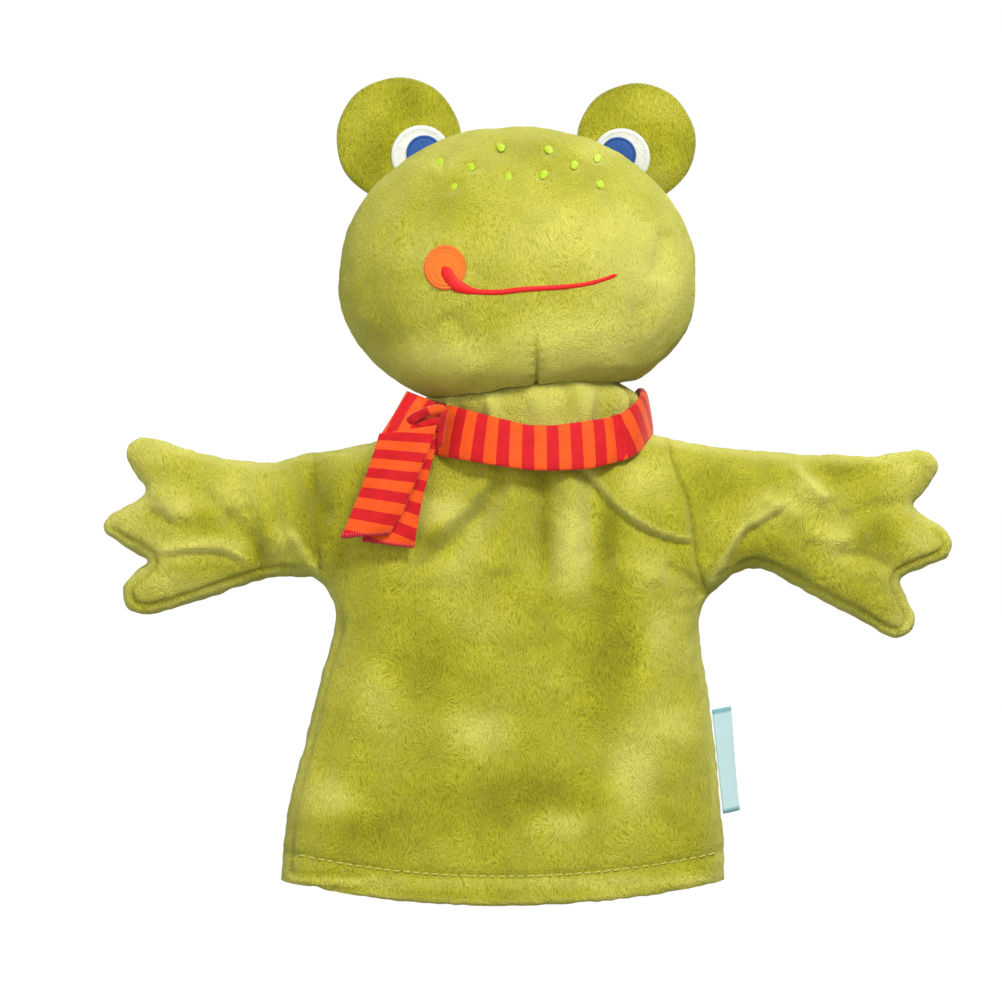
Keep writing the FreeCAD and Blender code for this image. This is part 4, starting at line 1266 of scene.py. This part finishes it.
def make_band():
    """A folded strip round the neck, lapped on the left, where its stripes lean and its top stands up."""
    around, spread = 280, 16
    xs, bottoms, tops = zip(*BAND_FRONT)
    angle = math.pi + circle(around)
    x = SCARF_MIDDLE_X + BAND_HALF[0] * np.sin(angle)
    y = -BAND_HALF[1] * np.cos(angle)
    front = smoothstep(-8, 8, -y)
    end_rise = smoothstep(36, 42.5, x)
    bottom = front * np.interp(x, xs, bottoms) + (1 - front) * (BAND_BACK[0] + 2.5 * end_rise)
    top = front * np.interp(x, xs, tops) + (1 - front) * (BAND_BACK[1] + 4.8 * end_rise)
    length = run_along(np.stack([x, y], axis=1))
    outward = unit(np.stack([np.sin(angle) / BAND_HALF[0], -np.cos(angle) / BAND_HALF[1]], axis=1))
    lapped = smoothstep(CREASE_X - 0.7, CREASE_X + 0.7, x) * (y < 0)
    crease = 2.2 * lapped * (1 - smoothstep(36, 44, x)) - 1.2 * bell(x - CREASE_X + 1.0, 1.0) * (y < 0)
    crease += 0.45 * np.sin(length / 6.5)
    lean = 0.12 * (1 - smoothstep(-20, 4, x)) * front
    points, runs, across = [], [], []
    for theta in circle(2 * spread):
        share = 0.5 - 0.5 * np.sign(math.cos(theta)) * abs(math.cos(theta)) ** 0.75
        z = bottom + (top - bottom) * share
        reach = (1.7 if theta < math.pi else 1.0) * rounded_sin(theta, 0.5)
        reach = reach + 2.4 * (0.5 - share) + crease * (0.55 + 0.45 * share)
        points.append(np.stack([x + outward[:, 0] * reach, y + outward[:, 1] * reach, z], axis=1))
        runs.append(length + BAND_STRIPE_SHIFT + (0.42 * lapped - lean) * (z - (bottom + top) / 2))
        across.append(z)
    points = np.vstack(points)
    points[:, 1] += 0.3 * lumps(points, 9, 61)
    piece = striped_piece("scarf_band", points, [f[::-1] for f in ring_faces(2 * spread, around)],
                          np.concatenate(runs), np.concatenate(across))
    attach(piece, "torso")


def flat_tube(left_edge, right_edge, rows, columns, depth_at, thick_at, run_scale, tilt):
    """A flat sewn tube between two edges: its points, faces, and the run and width that stripes need."""
    edges = []
    for edge in (left_edge, right_edge):
        line = curve_through(edge, 0.3)
        edges.append(line[np.linspace(0, len(line) - 1, rows).round().astype(int)])
    left, right = edges
    down = run_along((left + right) / 2)
    points, runs, across = [], [], []
    for row in range(rows):
        share = row / (rows - 1)
        width = np.linalg.norm(right[row] - left[row])
        for theta in circle(2 * columns):
            part = 0.5 - 0.5 * math.cos(theta)
            flat = left[row] + (right[row] - left[row]) * part
            thick = thick_at(share) * rounded_sin(theta, 0.5)
            points.append((flat[0], depth_at(share, part) - thick, flat[1]))
            runs.append(down[row] * (run_scale - 0.005 * down[row]) + tilt * (part - 0.5) * width)
            across.append(part * width)
    faces = [f[::-1] for f in tube_faces(rows, 2 * columns)]
    return np.array(points), faces, np.array(runs), np.array(across)


def loop_strip(spine, half_width, half_thick):
    """A narrow folded strip along a line in space, standing for the turn of cloth round a knot."""
    columns = 20
    line = curve_through(spine, 0.6)
    run = unit(np.gradient(line, axis=0))
    side = unit(np.cross(run, (0.0, -1.0, 0.0)))
    outward = np.cross(side, run)
    to_end = np.minimum(np.linspace(0, 1, len(line)), np.linspace(1, 0, len(line)))
    taper = np.sqrt(np.clip(to_end / 0.12, 0.03, 1))
    rows = []
    for theta in circle(columns):
        wide = half_width * math.cos(theta) * taper
        high = half_thick * rounded_sin(theta, 0.7) * taper
        rows.append(line + side * wide[:, None] + outward * high[:, None])
    points = np.stack(rows, axis=1).reshape(-1, 3)
    return (points, tube_faces(len(line), columns), np.repeat(run_along(line), columns),
            np.tile(np.arange(columns) * 1.0, len(line)))


KNOT_RED_RUN = 3.4   # a run in the middle of a red stripe
KNOT_OVER = [(-35.8, 167.2), (-39.8, 160.0), (-44.4, 152.6)], [(-26.6, 163.6), (-29.2, 158.4), (-31.0, 152.6)]
KNOT_FOLDS = [   # line, half width, half thickness, where its stripes start, how fast they run
    ([(-35.6, -27.6, 156.2), (-33.2, -29.6, 158.4), (-29.0, -30.6, 160.4), (-25.4, -30.2, 161.2),
      (-22.6, -28.6, 160.6)], 1.5, 1.0, 3.0, 0.3),
    ([(-33.0, -27.4, 155.4), (-29.6, -28.6, 156.6), (-25.8, -29.0, 157.2), (-23.2, -27.6, 157.4)],
     1.3, 1.1, KNOT_RED_RUN, 0.0),
    ([(-23.0, -27.6, 162.0), (-23.6, -29.4, 159.4), (-24.4, -29.0, 154.6), (-25.2, -27.4, 148.8)],
     1.15, 0.9, KNOT_RED_RUN, 0.0)]


def make_knot():
    """One end comes down over the band, and a turn of the other is drawn round it."""
    over = flat_tube(*KNOT_OVER, 30, 16,
                     lambda share, part: -19.5 - 8.0 * share ** 0.6 - 1.8 * math.sin(math.pi * part),
                     lambda share: 1.4, 0.15, 1.1)
    points, faces, run, across = [over[0]], over[1], [over[2] - KNOT_STRIPE_SHIFT], [over[3]]
    for spine, half_width, half_thick, first_run, run_scale in KNOT_FOLDS:
        fold_points, fold_faces, fold_run, fold_across = loop_strip(spine, half_width, half_thick)
        start = sum(len(p) for p in points)
        points.append(fold_points)
        faces += [[start + i for i in face] for face in fold_faces]
        run.append(first_run + run_scale * fold_run)
        across.append(fold_across)
    points = np.vstack(points)
    points[:, 1] += 0.5 * lumps(points, 3.5, 71)
    piece = striped_piece("scarf_knot", points, faces, np.concatenate(run), np.concatenate(across))
    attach(piece, "torso")


STRIPE_TILT, TAIL_RUN_SCALE = 0.26, 1.29
OVERLOCK_PITCH, OVERLOCK_REACH, OVERLOCK_THREAD = 0.8, 0.72, 0.2


def make_tail(body, left_edge, right_edge, middle_y, phase):
    """A tapering flat tube that hangs from the knot, bound at its cut end with overlock thread."""
    def depth_at(share, part):
        ripple = 0.6 * math.sin(part * 6.5 + share * 4.0 + phase) * float(smoothstep(0, 0.3, share))
        return middle_y - ripple + 0.8 * math.sin(math.pi * share) * (0.5 - part)

    def thick_at(share):
        return (1.05 + 0.4 * (1 - share)) * (0.55 + 0.45 * min(1.0, (1 - share) * 14))

    points, faces, run, across = flat_tube(left_edge, right_edge, 48, 22, depth_at, thick_at,
                                           TAIL_RUN_SCALE, -STRIPE_TILT)
    piece = striped_piece(body, points, faces, run + phase, across)
    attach(piece, body)
    overlock_end(body, np.array(left_edge[-1]), np.array(right_edge[-1]), middle_y, phase)


def overlock_end(body, left, right, middle_y, phase):
    """Loops of sewing thread bind the cut end of a tail."""
    points, faces, thread_tone_and_shade = [], [], []
    width = np.linalg.norm(right - left)
    run = (right - left) / width
    down = np.array([run[1], -run[0]])
    count = int(width / OVERLOCK_PITCH)
    sides, steps = 6, 12
    for loop in range(count):
        part = (loop + 0.5) / count
        place = left + run * part * width
        middle = middle_y - 0.6 * math.sin(part * 6.5 + 4.0 + phase)
        start = len(points)
        for step in range(steps):
            angle = 2 * math.pi * step / steps
            centre = place + down * (0.8 * math.sin(angle) - 0.45) + run * 0.35 * math.cos(angle)
            for side in range(sides):
                tube = 2 * math.pi * side / sides
                offset = OVERLOCK_THREAD * math.cos(tube)
                spot = centre + down * offset * math.sin(angle) + run * OVERLOCK_THREAD * math.sin(tube)
                points.append((spot[0], middle + (OVERLOCK_REACH + offset) * math.cos(angle), spot[1]))
                # painted shade: each loop's inner side is drawn darker than its outer side
                thread_tone_and_shade.append(0.2 + 0.8 * (0.5 + 0.5 * math.cos(tube)))
        faces += [[start + i for i in face] for face in ring_faces(steps, sides)]
    piece = new_piece(body + "_overlock", points, faces, {"thread_tone_and_shade": thread_tone_and_shade})
    finish_piece(piece, OVERLOCK, "red_thread")
    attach(piece, body)


# ---------------------------------------------------------------- the label and the hem stitches

LABEL_LOW, LABEL_HIGH = (68.2, 0.0, 29.4), (64.6, 0.0, 63.2)
LABEL_OUT, LABEL_TURN = 9.0, math.radians(55)
LABEL_LENGTH, LABEL_BORDER = 34.0, 0.045


def make_label():
    """A plain ribbon, folded in half and caught in the side seam by its two ends."""
    low, high = np.array(LABEL_LOW), np.array(LABEL_HIGH)
    out = np.array([math.cos(LABEL_TURN), math.sin(LABEL_TURN), 0.1])
    across = np.array([-out[1], out[0], 0.0])
    rows, columns = 40, 46
    points, run, over, thread = [], [], [], []
    for row in range(rows):
        share = row / (rows - 1)
        foot = low + (high - low) * share
        for column in range(columns):
            turn = 2 * math.pi * column / columns
            part = 0.5 - 0.5 * math.cos(turn)
            reach = -1.2 + (LABEL_OUT + 1.0) * part
            wave = 0.5 * math.sin(3.1 * share + 1) * part ** 2
            points.append(foot + out * reach + across * (0.75 * rounded_sin(turn, 0.6) + wave))
            run.append(share * LABEL_LENGTH)
            over.append(reach)
            thread.append(1.0 if min(share, 1 - share) < LABEL_BORDER else 0.0)
    piece = new_piece("side_label", points, tube_faces(rows, columns),
                      {"run": run, "across": over, "thread": thread})
    finish_piece(piece, RIBBON, "label_ribbon", "side_label")
    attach(piece, "label")


def make_hem_stitches():
    """Stitches of doubled thread that hold the turned-up hem, front and back."""
    pitch, length, steps, sides = 3.1, 2.3, 7, 8
    line_radius = HEM_RADIUS - HEM_STITCH_RISE
    spots = [(x, facing) for facing in (-1, 1) for x in np.arange(-70.0, 64.0, pitch)]
    points, faces, thread_tone_and_shade = [], [], []
    for x, facing in spots:
        start = len(points)
        for step in range(steps):
            share = step / (steps - 1)
            place_x = x + (share - 0.5) * length
            angle = math.asin((place_x - HEM_MIDDLE[0]) / line_radius)
            place_z = HEM_MIDDLE[1] - line_radius * math.cos(angle)
            near = np.argmin(((glove.flat - (place_x, place_z)) ** 2).sum(axis=1))
            surface = glove_points[near + (half_points if facing > 0 else 0), 1]
            if surface * facing < 0:
                surface = 0.0
            swell = 0.36 * math.sqrt(max(math.sin(math.pi * (0.06 + 0.88 * share)), 0.05))
            for side in range(sides):
                tube = 2 * math.pi * side / sides
                points.append((place_x, surface + facing * (0.25 + swell * math.cos(tube)
                                                            - 0.5 * (2 * share - 1) ** 4),
                               place_z + swell * math.sin(tube)))
                thread_tone_and_shade.append(0.5 + 0.5 * math.sin(2 * tube + 8 * share))
        faces += [[start + i for i in face][::facing] for face in tube_faces(steps, sides)]
    piece = new_piece("hem_stitching", points, faces, {"thread_tone_and_shade": thread_tone_and_shade})
    finish_piece(piece, GREEN_THREAD, "green_thread", "hem_stitching")
    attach(piece, "torso")


# ---------------------------------------------------------------- build everything

for face in ("front", "back"):
    make_glove_piece("torso", face)
    for side in SIDES:
        make_glove_piece(side + "_sleeve", face)
        make_glove_piece(side + "_hand", face)
        make_ear_cloth(side, face)
for side in SIDES:
    make_ear_wadding(side)
    make_eye(side)
make_hem_stitches()
make_neck()
make_head()
make_stuffing()
make_pocket()
make_cheek()
make_mouth()
make_spots()
make_band()
make_knot()
make_tail("scarf_back_tail", [(-42, 152), (-45, 141), (-48, 130), (-50.1, 118.6)],
          [(-25, 154.5), (-28, 142), (-31, 130), (-33.3, 116.4)], -26.4, 0.1)
make_tail("scarf_front_tail", [(-44.6, 153.2), (-47, 145.5), (-51.5, 133), (-57, 119.6)],
          [(-25.8, 156), (-28.4, 148.4), (-30.7, 142.5), (-33.7, 135.4), (-36.8, 128), (-41, 121)],
          -29.7, 0.45)
make_label()

# ---------------------------------------------------------------- the white studio, lights and camera

CAMERA_AT = (-5.2, -3000.0, 131.4)
FRAME_WIDTH, SENSOR = 327.5, 36.0   # what the camera takes in across the middle of the puppet


def make_backdrop():
    """A white sweep: a floor that curves up into a wall behind."""
    half, radius, back = 6000.0, 900.0, 5000.0
    profile = [(-2500.0, 0.0), (back - radius, 0.0)]
    for step in range(1, 25):
        turn = math.pi / 2 * step / 24
        profile.append((back - radius + radius * math.sin(turn), radius - radius * math.cos(turn)))
    profile.append((back, 4000.0))
    points = [(x, y, z - 0.4) for y, z in profile for x in (-half, half)]
    faces = [[2 * i, 2 * i + 1, 2 * i + 3, 2 * i + 2] for i in range(len(profile) - 1)]
    sweep = new_piece("studio_sweep", points, faces)
    material = bpy.data.materials.new("studio_white")
    material.use_nodes = True
    shader = material.node_tree.nodes["Principled BSDF"]
    shader.inputs["Base Color"].default_value = (0.03, 0.03, 0.03, 1)
    shader.inputs["Roughness"].default_value = 1.0
    shader.inputs["Specular IOR Level"].default_value = 0.0
    shader.inputs["Emission Color"].default_value = (1, 1, 1, 1)
    shader.inputs["Emission Strength"].default_value = 1.0
    sweep.data.materials.append(material)
    sweep.visible_diffuse = False
    sweep.visible_glossy = False


def area_light(name, place, aim, size, power):
    data = bpy.data.lights.new(name, "AREA")
    data.shape = "SQUARE"
    data.size = size
    data.energy = power
    light = bpy.data.objects.new(name, data)
    light.location = place
    light.rotation_euler = (Vector(aim) - Vector(place)).to_track_quat("-Z", "Y").to_euler()
    bpy.context.scene.collection.objects.link(light)


def make_camera():
    data = bpy.data.cameras.new("camera")
    data.lens, data.sensor_width = -SENSOR * CAMERA_AT[1] / FRAME_WIDTH, SENSOR
    camera = bpy.data.objects.new("camera", data)
    camera.location = [value * MM for value in CAMERA_AT]
    camera.rotation_euler = (math.pi / 2, 0, 0)
    bpy.context.scene.collection.objects.link(camera)
    bpy.context.scene.camera = camera


def make_world():
    world = bpy.data.worlds.new("studio")
    world.use_nodes = True
    background = world.node_tree.nodes["Background"]
    background.inputs["Color"].default_value = (1, 1, 1, 1)
    background.inputs["Strength"].default_value = 0.42
    bpy.context.scene.world = world


make_backdrop()
area_light("key", (0.45, -1.15, 1.1), (0, 0, 0.14), 0.4, 22.0)
area_light("fill", (-0.9, -1.5, 0.3), (0, 0, 0.15), 1.2, 14.0)
area_light("rim", (0.5, 0.5, 1.1), (0, 0, 0.15), 0.6, 8.0)
make_camera()
make_world()
bpy.context.scene.view_settings.view_transform = "Standard"
